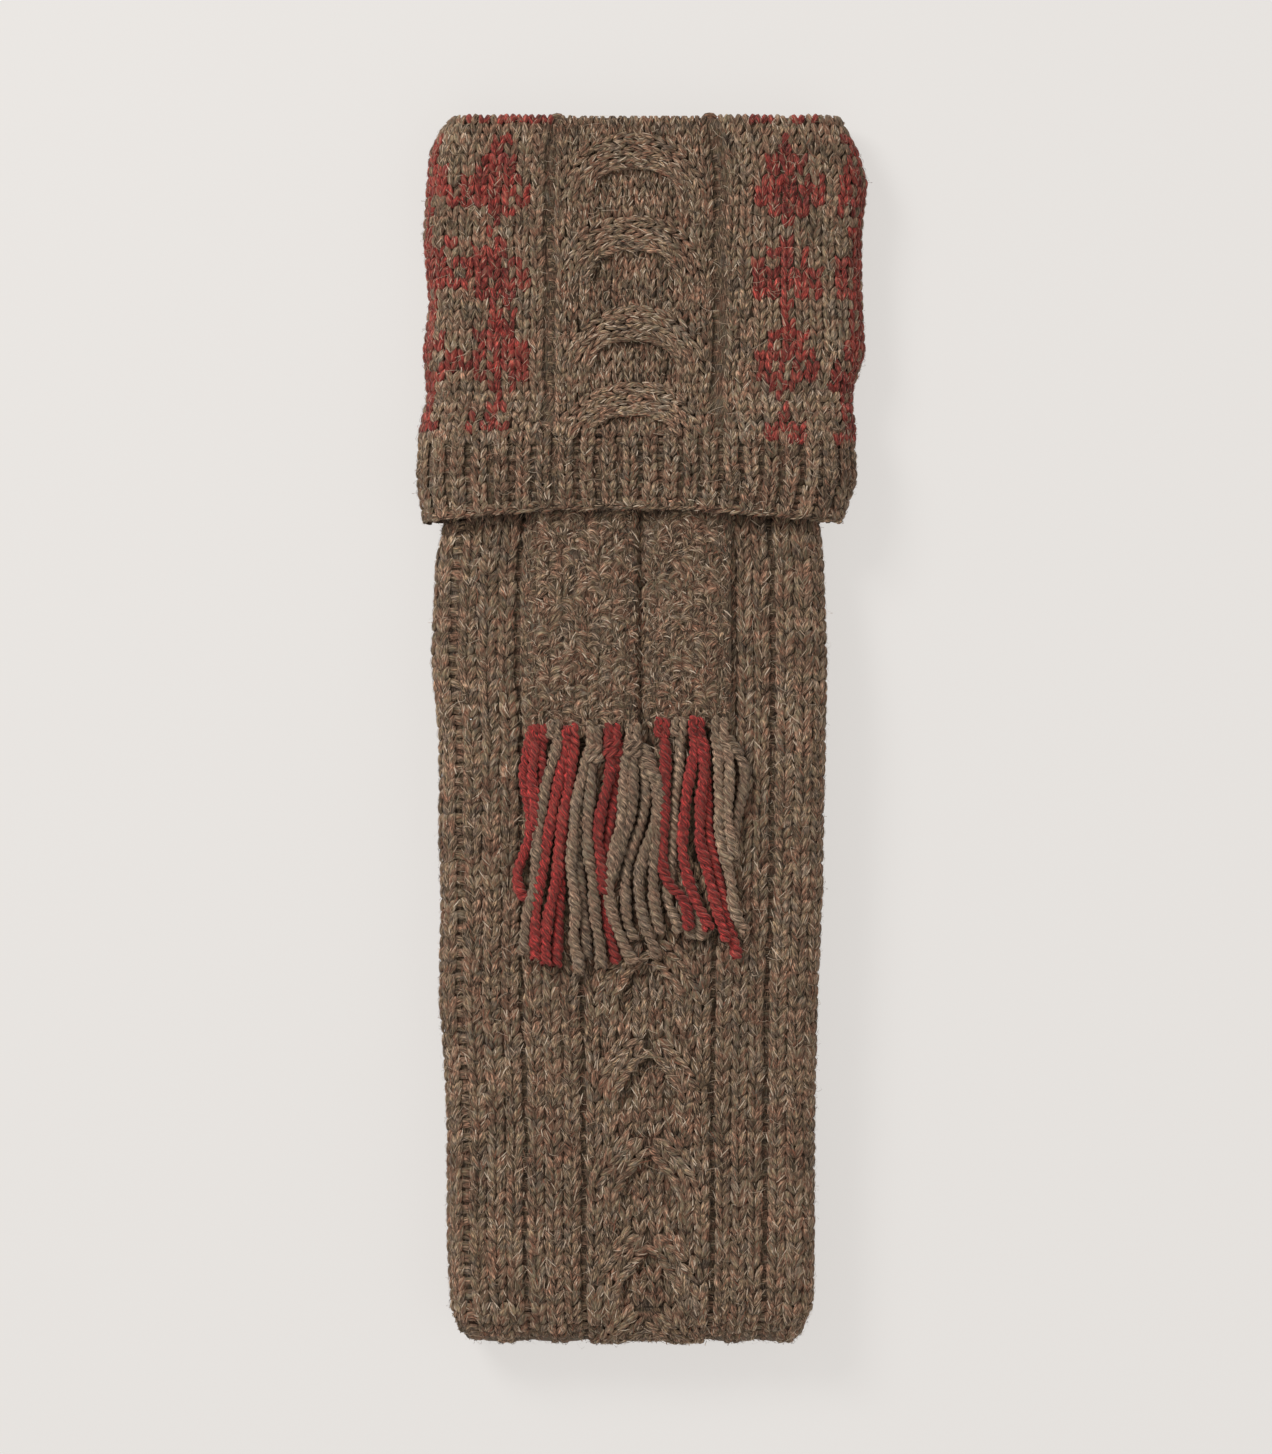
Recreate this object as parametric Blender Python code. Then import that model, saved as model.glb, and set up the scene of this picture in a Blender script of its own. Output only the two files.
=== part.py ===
"""A knitted field sock, lying flat with its foot folded under the leg.

The sock lies on Z = 0 with the leg's top edge at +Y and the bottom fold at -Y. The
origin is the middle of the footprint. The leg and foot are one flattened tube of
knitting, in seven lengths from the leg's top to the toe. The cuff is turned down over
the leg, with a ribbed welt at its hem. A knitted garter runs round the leg under the
cuff, and its two ends hang out as tabs with a yarn fringe. All lengths are in metres.
"""
import math

import bmesh
import bpy
from mathutils import Vector

# Driving dimensions
SOCK_LENGTH = 0.3455        # the turned top edge to the bottom fold
LEG_WIDTH = 0.1117          # the leg, lying flat, at its widest
KNIT_WALL = 0.0030          # thickness of the ribbed knitting
CLEARANCE = 0.0003          # between two pieces that touch
LEG_HOLLOW = 0.0056         # inside height of the flattened leg
FOOT_HOLLOW = 0.0048        # inside height of the flattened foot
FOLD_CREASE = 0.0006        # inside radius of the bottom fold
CUFF_DEPTH = 0.0912         # patterned part of the turned-down cuff
WELT_DEPTH = 0.0227         # ribbed band at the cuff's hem
HEM_ARCH = 0.0034           # how far the hem rises over the tabs
GARTER_THICKNESS = 0.0024
GARTER_WIDTH = 0.0172
GARTER_INSET = 0.0015       # the garter's lower edge above the hem's arch
CUFF_SETTLE = 0.0140        # length in which the cuff settles from the garter to the leg
LEG_SETTLE = 0.0560         # length in which the leg climbs onto the folded foot
TOE_TO_HEM = 0.0136         # the toe's end to the cuff's hem
TAB_WIDTH = 0.0300
TAB_LENGTH = 0.0640
TAB_GAP = 0.0022            # between the two tabs
TABS_OFFSET = 0.0033        # the gap between the tabs, to the right of the leg's axis
TAB_BUMP = 0.0004           # relief of the tabs' basket stitch
FRINGE_LENGTH = 0.0670
LOCK_THICKNESS = 0.0038     # height of a lock of fringe, two strands of yarn
RIB_DEPTH = 0.0011          # purl grooves between the ribs
CABLE_DEPTH = 0.0009        # hollows between the arches of the cable
CABLE_PERIOD = 0.0274       # one arch of the leg's cable
CUFF_CABLE_PERIOD = 0.0243
WELT_RIB_DEPTH = 0.0009

# The leg's outline from the top edge to the bottom fold. down is a share of
# SOCK_LENGTH, left and right are shares of half of LEG_WIDTH from the leg's axis.
LEG_OUTLINE = (
    # down, left, right
    (0.000, 0.847, 1.006),
    (0.015, 0.911, 1.042),
    (0.031, 0.956, 1.097),
    (0.055, 0.967, 1.137),
    (0.100, 0.987, 1.107),
    (0.152, 0.957, 1.112),
    (0.193, 0.987, 1.127),
    (0.221, 0.972, 1.070),
    (0.266, 0.960, 1.025),
    (0.298, 0.970, 1.035),
    (0.331, 0.940, 0.960),
    (0.363, 0.982, 0.982),
    (0.444, 1.000, 0.995),
    (0.509, 0.962, 0.987),
    (0.590, 0.962, 0.977),
    (0.639, 0.952, 0.972),
    (0.720, 0.962, 0.947),
    (0.768, 0.937, 0.942),
    (0.817, 0.922, 0.932),
    (0.914, 0.922, 0.932),
    (0.963, 0.905, 0.925),
)
# The foot's outline from the bottom fold to the toe, heel on the right. along is a
# share of the foot's length, left and right are shares of half of LEG_WIDTH.
FOOT_OUTLINE = (
    # along, left, right
    (0.00, 0.900, 0.925),
    (0.12, 0.880, 0.930),
    (0.22, 0.840, 0.905),
    (0.31, 0.800, 0.820),
    (0.38, 0.780, 0.755),
    (0.55, 0.775, 0.735),
    (0.80, 0.760, 0.725),
    (0.86, 0.720, 0.690),
    (0.91, 0.650, 0.620),
    (0.96, 0.520, 0.500),
    (1.00, 0.330, 0.320),
)
HEEL_END = 0.33             # share of the foot's length
TOE_START = 0.80
FOLD_TAPER = 0.045          # share by which the fold draws the sides in
FOLD_STEPS = 8
PRESSED_WALL = 0.8          # the most of the half height that a pressed wall may fill
# Ribs across the front of the leg, from -1 at the left edge to 1 at the right edge of
# the flat face. kind is a groove, a rib's shoulder, its crown or a cable's strand.
LEG_RIBS = (
    # across, kind
    (-1.000, "groove"), (-0.935, "shoulder"), (-0.820, "crown"), (-0.705, "shoulder"),
    (-0.642, "groove"), (-0.580, "shoulder"), (-0.463, "crown"), (-0.347, "shoulder"),
    (-0.285, "groove"), (-0.230, "cable"), (-0.117, "cable"), (-0.004, "cable"),
    (0.109, "cable"), (0.222, "cable"), (0.335, "cable"), (0.448, "cable"),
    (0.497, "groove"), (0.556, "shoulder"), (0.658, "crown"), (0.760, "shoulder"),
    (0.818, "groove"), (0.880, "shoulder"), (1.000, "crown"),
)
LEG_CABLE = (0.109, 0.339)  # centre and half width, in the same shares
CUFF_RIBS = (
    # across, kind
    (-1.000, "crown"), (-0.760, "crown"), (-0.530, "crown"), (-0.449, "groove"),
    (-0.399, "cable"), (-0.309, "cable"), (-0.218, "cable"), (-0.128, "cable"),
    (-0.037, "cable"), (0.054, "cable"), (0.144, "cable"), (0.235, "cable"),
    (0.310, "cable"), (0.355, "groove"), (0.420, "crown"), (0.610, "crown"),
    (0.800, "crown"), (1.000, "crown"),
)
CUFF_CABLE = (-0.037, 0.362)
SHOULDER_DROP = 0.22        # a rib's shoulder below its crown, a share of RIB_DEPTH
CABLE_LEAN = 0.75           # arches drop by this share of a period from middle to side
WELT_RIBS = 22              # ribs across the front of the welt
ARC_STEPS = 5               # steps round each folded side of the tube
ROLL_STEPS = 4              # steps over the cuff's rolled top

# The fringe. The bounds are shares of the tab's width from its left edge, at the head,
# half way down and at the tip. length is a share of FRINGE_LENGTH.
FRINGE = (
    # name, tab, colour, locks, head left, head right, mid l, mid r, tip l, tip r, length
    ("tassel_1_red", "left", "madder", 2, 0.05, 0.21, -0.01, 0.080, -0.100, 0.005, 0.69),
    ("tassel_2_brown", "left", "marl", 1, 0.23, 0.33, 0.100, 0.180, -0.030, 0.055, 0.92),
    ("tassel_3_red", "left", "madder", 2, 0.35, 0.49, 0.200, 0.360, 0.080, 0.355, 0.98),
    ("tassel_4_brown", "left", "marl", 3, 0.51, 0.73, 0.380, 0.655, 0.375, 0.720, 1.00),
    ("tassel_5_red", "left", "madder", 1, 0.75, 0.85, 0.675, 0.765, 0.740, 0.865, 0.97),
    ("tassel_6_brown", "left", "marl", 4, 0.87, 1.05, 0.785, 1.165, 0.885, 1.190, 0.96),
    ("tassel_7_red", "right", "madder", 1, 0.07, 0.27, 0.150, 0.245, 0.180, 0.285, 0.82),
    ("tassel_8_brown", "right", "marl", 1, 0.29, 0.42, 0.260, 0.350, 0.305, 0.410, 0.82),
    ("tassel_9_red", "right", "madder", 3, 0.44, 0.63, 0.365, 0.640, 0.430, 0.820, 0.92),
    ("tassel_10_brown", "right", "marl", 3, 0.65, 0.99, 0.660, 0.980, 0.845, 1.060, 0.85),
)
HEAD_LENGTH = 0.0060        # the knot at the top of a tassel
LOCK_OVERLAP = 1.16         # locks of one tassel run into each other by this factor
LOCK_SIDES = 6
LOCK_STEPS = (0.035, 0.25, 0.5, 0.75, 1.0)
LOCK_TIP = 0.72             # a lock's tip, drawn in to this share
TABS = (
    # name, side of the gap, share of TAB_WIDTH, share of TAB_LENGTH
    ("left", -1, 1.045, 1.00),
    ("right", 1, 0.930, 0.97),
)
TAB_BLOCKS = (4, 8)         # blocks of basket stitch across and along a tab

YARN_COLOURS = {
    "marl": (0.145, 0.105, 0.078),
    "madder": (0.240, 0.035, 0.028),
}

# Sizes that follow from the driving dimensions
LEG_HALF = LEG_HOLLOW / 2 + KNIT_WALL
FOOT_HALF = FOOT_HOLLOW / 2 + KNIT_WALL
TOP_Y = SOCK_LENGTH / 2
WELT_TOP_Y = TOP_Y - CUFF_DEPTH
HEM_Y = WELT_TOP_Y - WELT_DEPTH
GARTER_LOW_Y = HEM_Y + HEM_ARCH + GARTER_INSET
GARTER_HIGH_Y = GARTER_LOW_Y + GARTER_WIDTH
LEG_OVER_FOOT_Z = 2 * FOOT_HALF + CLEARANCE + LEG_HALF
FOLD_RADIUS = (LEG_OVER_FOOT_Z - FOOT_HALF) / 2
FOLD_HALF = FOLD_RADIUS - FOLD_CREASE
FOLD_Y = -SOCK_LENGTH / 2 + FOLD_RADIUS + FOLD_HALF
ROLL_RADIUS = KNIT_WALL + CLEARANCE / 2
ROLL_Y = TOP_Y - ROLL_RADIUS
RIM_Y = ROLL_Y - 2 * CLEARANCE
TOE_Y = HEM_Y - TOE_TO_HEM


def mix(low, high, share):
    return low + (high - low) * share


def smooth(share):
    share = min(max(share, 0.0), 1.0)
    return share * share * (3 - 2 * share)


def read_table(table, at):
    """The left and right values of an outline table at a share of its length."""
    if at <= table[0][0]:
        return table[0][1:]
    for (start, *low), (end, *high) in zip(table, table[1:]):
        if at <= end:
            share = (at - start) / (end - start)
            return tuple(mix(a, b, share) for a, b in zip(low, high))
    return table[-1][1:]


def leg_sides(y):
    """How far the leg's left and right edges are from its axis at a height y."""
    shares = read_table(LEG_OUTLINE, (TOP_Y - y) / SOCK_LENGTH)
    return tuple(share * LEG_WIDTH / 2 for share in shares)


def cuff_ease(y):
    """Room between the leg and the cuff: a clearance, and the garter's thickness."""
    settle = smooth((GARTER_HIGH_Y + CUFF_SETTLE - y) / CUFF_SETTLE)
    return CLEARANCE + (GARTER_THICKNESS + CLEARANCE) * settle


def key_heights(low, high):
    """Heights between two others where what surrounds the leg changes its slope."""
    heights = [TOP_Y - down * SOCK_LENGTH for down, _left, _right in LEG_OUTLINE]
    heights += [GARTER_HIGH_Y + CUFF_SETTLE * step / 4 for step in range(5)]
    heights += [GARTER_LOW_Y, WELT_TOP_Y]
    return sorted((y for y in heights if low < y < high), reverse=True)


def leg_height(y):
    """Height of the leg's middle: the cuff lies on the floor, the rest on the foot."""
    on_floor = LEG_HALF + cuff_ease(y) + KNIT_WALL
    climb = smooth((HEM_Y - y) / LEG_SETTLE)
    return mix(on_floor, LEG_OVER_FOOT_Z, climb)


def foot_half(y):
    """The foot's half height, which flattens where the leg comes down on it."""
    return min(FOOT_HALF, (leg_height(y) - LEG_HALF - CLEARANCE) / 2)


def outline_reach(side):
    """The widest reach of the cuff and welt from the leg's axis on one side."""
    heights = [mix(TOP_Y, HEM_Y, step / 60) for step in range(61)]
    return max(leg_sides(y)[side] + cuff_ease(y) + KNIT_WALL for y in heights)


LEG_AXIS_X = (outline_reach(0) - outline_reach(1)) / 2


def ring(front, back):
    """Columns round a flattened tube: front face, right side, back face, left side."""
    arc = [step / ARC_STEPS for step in range(1, ARC_STEPS)]
    columns = [("front", across, kind) for across, kind in front]
    columns += [("right", turn, "plain") for turn in arc]
    columns += [("back", across, "plain") for across in back]
    columns += [("left", turn, "plain") for turn in arc]
    return columns


def ring_point(column, sides, half, out):
    """Place of a column across the tube and above its middle, moved out by a distance."""
    face, share, _kind = column
    left, right = sides[0] - half, sides[1] - half
    radius = half + out
    if face in ("front", "back"):
        across = mix(-left, right, (share + 1) / 2)
        return across, radius if face == "front" else -radius
    turn = math.pi * (0.5 - share)
    if face == "right":
        return right + radius * math.cos(turn), radius * math.sin(turn)
    return -left - radius * math.cos(turn), -radius * math.sin(turn)


PLAIN_RING = ring([(share, "plain") for share in (-1, -0.5, 0, 0.5, 1)], (1, 0, -1))
LEG_RING = ring(LEG_RIBS, (1, 0.5, 0, -0.5, -1))
CUFF_RING = ring(CUFF_RIBS, (1, 0.33, -0.33, -1))
WELT_FRONT = [(mix(-1, 1, step / (2 * WELT_RIBS)), ("crown", "groove")[step % 2])
              for step in range(2 * WELT_RIBS + 1)]
WELT_RING = ring(WELT_FRONT, (1, 0.33, -0.33, -1))


def cable_relief(across, cable, below_apex, period):
    """Depth of the arches: strands climb from each side to the middle."""
    centre, half_width = cable
    aside = abs(across - centre) / half_width
    phase = below_apex / period - CABLE_LEAN * aside
    return -CABLE_DEPTH * 2 * abs(phase - round(phase))


def rib_relief(column, cable, below_apex, period, strength=1.0):
    """How far a column of the knitting lies below the smooth tube."""
    kind = column[2]
    if kind == "groove":
        return -RIB_DEPTH * strength
    if kind == "shoulder":
        return -RIB_DEPTH * SHOULDER_DROP * strength
    if kind == "cable":
        return cable_relief(column[1], cable, below_apex, period) * strength
    return 0.0


def add_loop(mesh, points):
    return [mesh.verts.new(point) for point in points]


def add_skin(mesh, loops):
    """Quads between loops that have the same number of points."""
    for low, high in zip(loops, loops[1:]):
        for index in range(len(low)):
            after = (index + 1) % len(low)
            mesh.faces.new((low[index], low[after], high[after], high[index]))


def loop_shares(loop):
    """Each point's share of the way round its loop."""
    lengths = [0.0]
    for here, there in zip(loop, loop[1:] + loop[:1]):
        lengths.append(lengths[-1] + (there.co - here.co).length)
    return [length / lengths[-1] for length in lengths]


def add_rim(mesh, outer, inner):
    """Triangles between two loops with different numbers of points."""
    outer_share, inner_share = loop_shares(outer), loop_shares(inner)
    a = b = 0
    while a < len(outer) or b < len(inner):
        here, there = outer[a % len(outer)], inner[b % len(inner)]
        step_outer = b == len(inner)
        if a < len(outer) and not step_outer:
            step_outer = outer_share[a + 1] <= inner_share[b + 1]
        if step_outer:
            mesh.faces.new((here, outer[(a + 1) % len(outer)], there))
            a += 1
        else:
            mesh.faces.new((here, inner[(b + 1) % len(inner)], there))
            b += 1


def finish(mesh, name, material, collection):
    """Turn the faces outwards and make the object."""
    bmesh.ops.triangulate(mesh, faces=mesh.faces)
    bmesh.ops.recalc_face_normals(mesh, faces=mesh.faces)
    data = bpy.data.meshes.new(name)
    mesh.to_mesh(data)
    mesh.free()
    piece = bpy.data.objects.new(name, data)
    piece.data.materials.append(material)
    collection.objects.link(piece)
    return piece


def yarn_material(name, colour):
    material = bpy.data.materials.new(name)
    material.use_nodes = True
    shader = material.node_tree.nodes["Principled BSDF"]
    shader.inputs["Base Color"].default_value = (*YARN_COLOURS[colour], 1.0)
    shader.inputs["Roughness"].default_value = 0.95
    shader.inputs["Metallic"].default_value = 0.0
    return material


def tube_piece(name, columns, stations, relief, collection, closed_end=False):
    """A length of the flattened tube.

    A station is where the tube's middle is, which way its front faces, its two sides
    and its half height. The inside is a plainer loop a wall's thickness in.
    """
    mesh = bmesh.new()
    outer, inner = [], []
    for number, (middle, front, sides, half) in enumerate(stations):
        points = []
        for column in columns:
            across, above = ring_point(column, sides, half, relief(column, number))
            points.append(middle + Vector((across, 0, 0)) + front * above)
        outer.append(add_loop(mesh, points))
    inner_stations = stations[:-1] if closed_end else stations[:-1:2] + stations[-1:]
    for middle, front, sides, half in inner_stations:
        points = []
        for column in PLAIN_RING:
            wall = min(KNIT_WALL, PRESSED_WALL * half)
            across, above = ring_point(column, sides, half, -wall)
            points.append(middle + Vector((across, 0, 0)) + front * above)
        inner.append(add_loop(mesh, points))
    add_skin(mesh, outer)
    add_skin(mesh, inner)
    add_rim(mesh, outer[0], inner[0])
    if closed_end:
        mesh.faces.new(outer[-1])
        mesh.faces.new(inner[-1])
    else:
        add_rim(mesh, outer[-1], inner[-1])
    return finish(mesh, name, yarn_material(name, "marl"), collection)


def swept_piece(name, columns, profile, relief, collection, hem_lift=None):
    """A band round the leg. A profile point is a height and a distance out."""
    mesh = bmesh.new()
    loops = []
    for row, (y, out, is_skin) in enumerate(profile):
        points = []
        for column in columns:
            depth = relief(column, row) if is_skin else 0.0
            lift = hem_lift(column, row) if hem_lift else 0.0
            sides = leg_sides(y)
            across, above = ring_point(column, sides, LEG_HALF, out + depth)
            points.append((LEG_AXIS_X + across, y + lift, leg_height(y) + above))
        loops.append(add_loop(mesh, points))
    add_skin(mesh, loops + loops[:1])
    return finish(mesh, name, yarn_material(name, "marl"), collection)


def arch_rows(high, low):
    """Heights of sections from one height down to another, four for each arch."""
    count = round((high - low) / (CABLE_PERIOD / 4))
    return [mix(high, low, step / count) for step in range(count + 1)]


def make_leg(collection):
    """The leg's top under the cuff, its calf that climbs onto the foot, and the rest."""
    calf_end_y = HEM_Y - LEG_SETTLE
    fold_y = FOLD_Y + CLEARANCE
    lengths = (
        ("leg_top", [RIM_Y] + key_heights(HEM_Y, RIM_Y) + [HEM_Y]),
        ("calf", arch_rows(HEM_Y - CLEARANCE, calf_end_y)),
        ("leg", arch_rows(calf_end_y - CLEARANCE, fold_y)),
    )
    up = Vector((0, 0, 1))
    for name, rows in lengths:
        stations = [(Vector((LEG_AXIS_X, y, leg_height(y))), up, leg_sides(y), LEG_HALF)
                    for y in rows]

        def relief(column, number, rows=rows):
            y = rows[number]
            shown = smooth((HEM_Y + HEM_ARCH - y) / HEM_ARCH)
            return rib_relief(column, LEG_CABLE, fold_y - y, CABLE_PERIOD, shown)

        tube_piece(name, LEG_RING, stations, relief, collection)


def make_ankle(collection):
    """The bottom fold: the tube turns half round and lies back under the leg."""
    stations = []
    for step in range(FOLD_STEPS + 1):
        turn = math.pi * step / FOLD_STEPS
        bend = math.sin(turn)
        front = Vector((0, -math.sin(turn), math.cos(turn)))
        middle_z = FOOT_HALF + FOLD_RADIUS
        middle = Vector((LEG_AXIS_X, FOLD_Y - FOLD_RADIUS * bend,
                         middle_z + FOLD_RADIUS * math.cos(turn)))
        flat_half = LEG_HALF if turn < math.pi / 2 else FOOT_HALF
        half = mix(flat_half, FOLD_HALF, smooth(bend))
        leg, foot = leg_sides(FOLD_Y), foot_sides(FOLD_Y)
        draw = 1 - FOLD_TAPER * bend
        sides = tuple(mix(a, b, step / FOLD_STEPS) * draw for a, b in zip(leg, foot))
        stations.append((middle, front, sides, half))

    def relief(column, number):
        turn = math.pi * number / FOLD_STEPS
        return rib_relief(column, LEG_CABLE, FOLD_RADIUS * turn, CABLE_PERIOD)

    return tube_piece("ankle", LEG_RING, stations, relief, collection)


def foot_sides(y):
    shares = read_table(FOOT_OUTLINE, (y + SOCK_LENGTH / 2) / (TOE_Y + SOCK_LENGTH / 2))
    return tuple(share * LEG_WIDTH / 2 for share in shares)


def foot_station(y):
    """A section of the foot, which lies on the floor with its front face down."""
    half = foot_half(y)
    return Vector((LEG_AXIS_X, y, half)), Vector((0, 0, -1)), foot_sides(y), half


def make_foot_pieces(collection):
    """Heel, foot and toe, one behind the other with a clearance between them."""
    length = TOE_Y + SOCK_LENGTH / 2
    heel_y = HEEL_END * length - SOCK_LENGTH / 2
    toe_y = TOE_START * length - SOCK_LENGTH / 2
    lengths = (
        ("heel", FOLD_Y + CLEARANCE, heel_y, 5, False),
        ("foot", heel_y + CLEARANCE, toe_y, 6, False),
        ("toe", toe_y + CLEARANCE, TOE_Y, 6, True),
    )
    for name, start, end, steps, closed in lengths:
        rows = [mix(start, end, step / steps) for step in range(steps + 1)]
        if closed:
            rows[-2] = TOE_Y - KNIT_WALL
        stations = [foot_station(y) for y in rows]

        def relief(column, number, rows=rows):
            fade = 1 - smooth((rows[number] - FOLD_Y) / (heel_y - FOLD_Y))
            return rib_relief(column, LEG_CABLE, 0.0, CABLE_PERIOD, fade)

        tube_piece(name, LEG_RING, stations, relief, collection, closed)


def make_cuff(collection):
    """The turned-down cuff, rolled over at the top to meet the leg's rim."""
    hem_y = WELT_TOP_Y + CLEARANCE
    rows = round((ROLL_Y - hem_y) / (CUFF_CABLE_PERIOD / 4))
    outer = []
    for step in range(rows + 1):
        y = mix(hem_y, ROLL_Y, step / rows)
        outer.append((y, cuff_ease(y) + KNIT_WALL, True))
    roll = []
    for step in range(1, ROLL_STEPS):
        turn = math.pi * step / ROLL_STEPS
        out = CLEARANCE / 2 + ROLL_RADIUS * math.cos(turn)
        roll.append((ROLL_Y + ROLL_RADIUS * math.sin(turn), out, False))
    limb_y = RIM_Y + CLEARANCE
    limb = [(ROLL_Y, -KNIT_WALL, False), (limb_y, -KNIT_WALL, False),
            (limb_y, cuff_ease(limb_y), False)]
    inner = [(y, cuff_ease(y), False) for y in key_heights(hem_y, limb_y) + [hem_y]]
    profile = outer + roll + limb + inner

    def relief(column, row):
        y = profile[row][0]
        shown = smooth((ROLL_Y - y) / (2 * KNIT_WALL))
        return rib_relief(column, CUFF_CABLE, ROLL_Y - y, CUFF_CABLE_PERIOD, shown)

    swept_piece("cuff", CUFF_RING, profile, relief, collection)


def hem_rise(column):
    """The hem arches up over the front, where the tabs come out."""
    return HEM_ARCH * (1 - column[1] ** 2) if column[0] == "front" else 0.0


def make_welt(collection):
    """The ribbed band at the hem, which bulges a little over the garter."""
    shares = (0.0, 0.12, 0.5, 0.88, 1.0)
    drops = (0.3, 0.0, 0.0, 0.0, 0.55)
    profile = []
    for share, drop in zip(shares, drops):
        y = mix(WELT_TOP_Y, HEM_Y, share)
        profile.append((y, cuff_ease(y) + KNIT_WALL * (1 - drop), True))
    inside = [WELT_TOP_Y] + key_heights(HEM_Y, WELT_TOP_Y) + [HEM_Y]
    profile += [(y, cuff_ease(y), False) for y in reversed(inside)]

    def relief(column, row):
        return -WELT_RIB_DEPTH if column[2] == "groove" else 0.0

    def lift(column, row):
        return hem_rise(column) * (WELT_TOP_Y - profile[row][0]) / WELT_DEPTH

    swept_piece("cuff_welt", WELT_RING, profile, relief, collection, lift)


def make_garter(collection):
    near, far = CLEARANCE, CLEARANCE + GARTER_THICKNESS
    heights = [GARTER_HIGH_Y] + key_heights(GARTER_LOW_Y, GARTER_HIGH_Y) + [GARTER_LOW_Y]
    profile = [(y, near, False) for y in heights]
    profile += [(y, far, False) for y in reversed(heights)]
    swept_piece("garter_band", PLAIN_RING, profile, None, collection)


def tab_edges(side, width_share):
    """Left and right edges of a tab."""
    gap_x = LEG_AXIS_X + TABS_OFFSET
    near = gap_x + side * TAB_GAP / 2
    far = near + side * TAB_WIDTH * width_share
    return min(near, far), max(near, far)


def on_leg(y, above=0.0):
    """Height of something that lies on the front of the leg."""
    return leg_height(y) + LEG_HALF + CLEARANCE + above


def make_tab(name, side, width_share, length_share, collection):
    """An end of the garter: a slab of basket stitch that lies on the leg."""
    low_x, high_x = tab_edges(side, width_share)
    top_y = GARTER_LOW_Y - CLEARANCE
    end_y = top_y - TAB_LENGTH * length_share
    across, along = TAB_BLOCKS[0] * 2, TAB_BLOCKS[1] * 2
    mesh = bmesh.new()
    upper, lower = [], []
    for row in range(along + 1):
        y = mix(top_y, end_y, row / along)
        shown = smooth((HEM_Y - y) / KNIT_WALL)
        up_row, low_row = [], []
        for step in range(across + 1):
            x = mix(low_x, high_x, step / across)
            bump = math.sin(math.pi * step / 2) * math.sin(math.pi * row / 2)
            block = (step // 2 + row // 2) % 2
            dip = TAB_BUMP * shown * (2 if block else 0) * abs(bump)
            edge = TAB_BUMP * (step in (0, across) or row == along)
            up_row.append(mesh.verts.new((x, y, on_leg(y, GARTER_THICKNESS - dip - edge))))
            low_row.append(mesh.verts.new((x, y, on_leg(y))))
        upper.append(up_row)
        lower.append(low_row)
    for grid in (upper, lower):
        for low, high in zip(grid, grid[1:]):
            for step in range(across):
                mesh.faces.new((low[step], low[step + 1], high[step + 1], high[step]))
    rims = [(upper[0], lower[0]), (upper[-1], lower[-1]),
            ([row[0] for row in upper], [row[0] for row in lower]),
            ([row[-1] for row in upper], [row[-1] for row in lower])]
    for high, low in rims:
        for step in range(len(high) - 1):
            mesh.faces.new((high[step], high[step + 1], low[step + 1], low[step]))
    finish(mesh, f"garter_tab_{name}", yarn_material(f"garter_tab_{name}", "marl"), collection)
    return low_x, high_x - low_x, end_y


def make_lock(name, path, material, collection):
    """One lock of fringe: a flattened tube along a path, drawn in at its tip."""
    mesh = bmesh.new()
    loops = []
    for number, (x, y, half_width) in enumerate(path):
        draw = LOCK_TIP if number == len(path) - 1 else 1.0
        points = []
        for side in range(LOCK_SIDES):
            turn = 2 * math.pi * (side + 0.5) / LOCK_SIDES
            high = (1 + math.sin(turn) / math.sin(math.pi / 3) * draw) / 2
            points.append((x + half_width * draw * math.cos(turn), y,
                           on_leg(y, LOCK_THICKNESS * high)))
        loops.append(add_loop(mesh, points))
    add_skin(mesh, loops)
    mesh.faces.new(loops[0])
    mesh.faces.new(loops[-1])
    return finish(mesh, name, material, collection)


def make_tassel(row, tab, collection, cutters):
    """Locks fused to a knot that hangs from the tab's lower edge."""
    (name, _side, colour, locks, *bounds, length) = row
    tab_x, tab_width, tab_y = tab
    head, middle, tip = [(tab_x + tab_width * low, tab_x + tab_width * high)
                         for low, high in zip(bounds[::2], bounds[1::2])]
    top_y = tab_y - CLEARANCE
    material = yarn_material(name, colour)
    head_half = (head[1] - head[0]) / 2
    head_x = (head[0] + head[1]) / 2
    knot_path = [(head_x, top_y - HEAD_LENGTH * share, head_half) for share in (0, 0.5, 1)]
    knot = make_lock(name, knot_path, material, collection)
    reach = FRINGE_LENGTH * length
    overlap = LOCK_OVERLAP if locks > 1 else 1.0
    for number in range(locks):
        path = []
        for down in LOCK_STEPS:
            upper, lower = (head, middle) if down <= 0.5 else (middle, tip)
            blend = down * 2 if down <= 0.5 else down * 2 - 1
            left, right = (mix(a, b, blend) for a, b in zip(upper, lower))
            half_width = (right - left) / (2 * locks)
            middle_x = mix(left, right, (number + 0.5) / locks)
            inset = half_width * (overlap - 1) * (1 - (2 * number + 1) / locks)
            path.append((middle_x + inset, top_y - reach * down, half_width * overlap))
        lock = make_lock(f"{name}_lock_{number}", path, material, cutters)
        lock.hide_render = True
        lock.display_type = "WIRE"
        union = knot.modifiers.new(f"lock_{number}", "BOOLEAN")
        union.operation = "UNION"
        union.solver = "EXACT"
        union.object = lock


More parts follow.
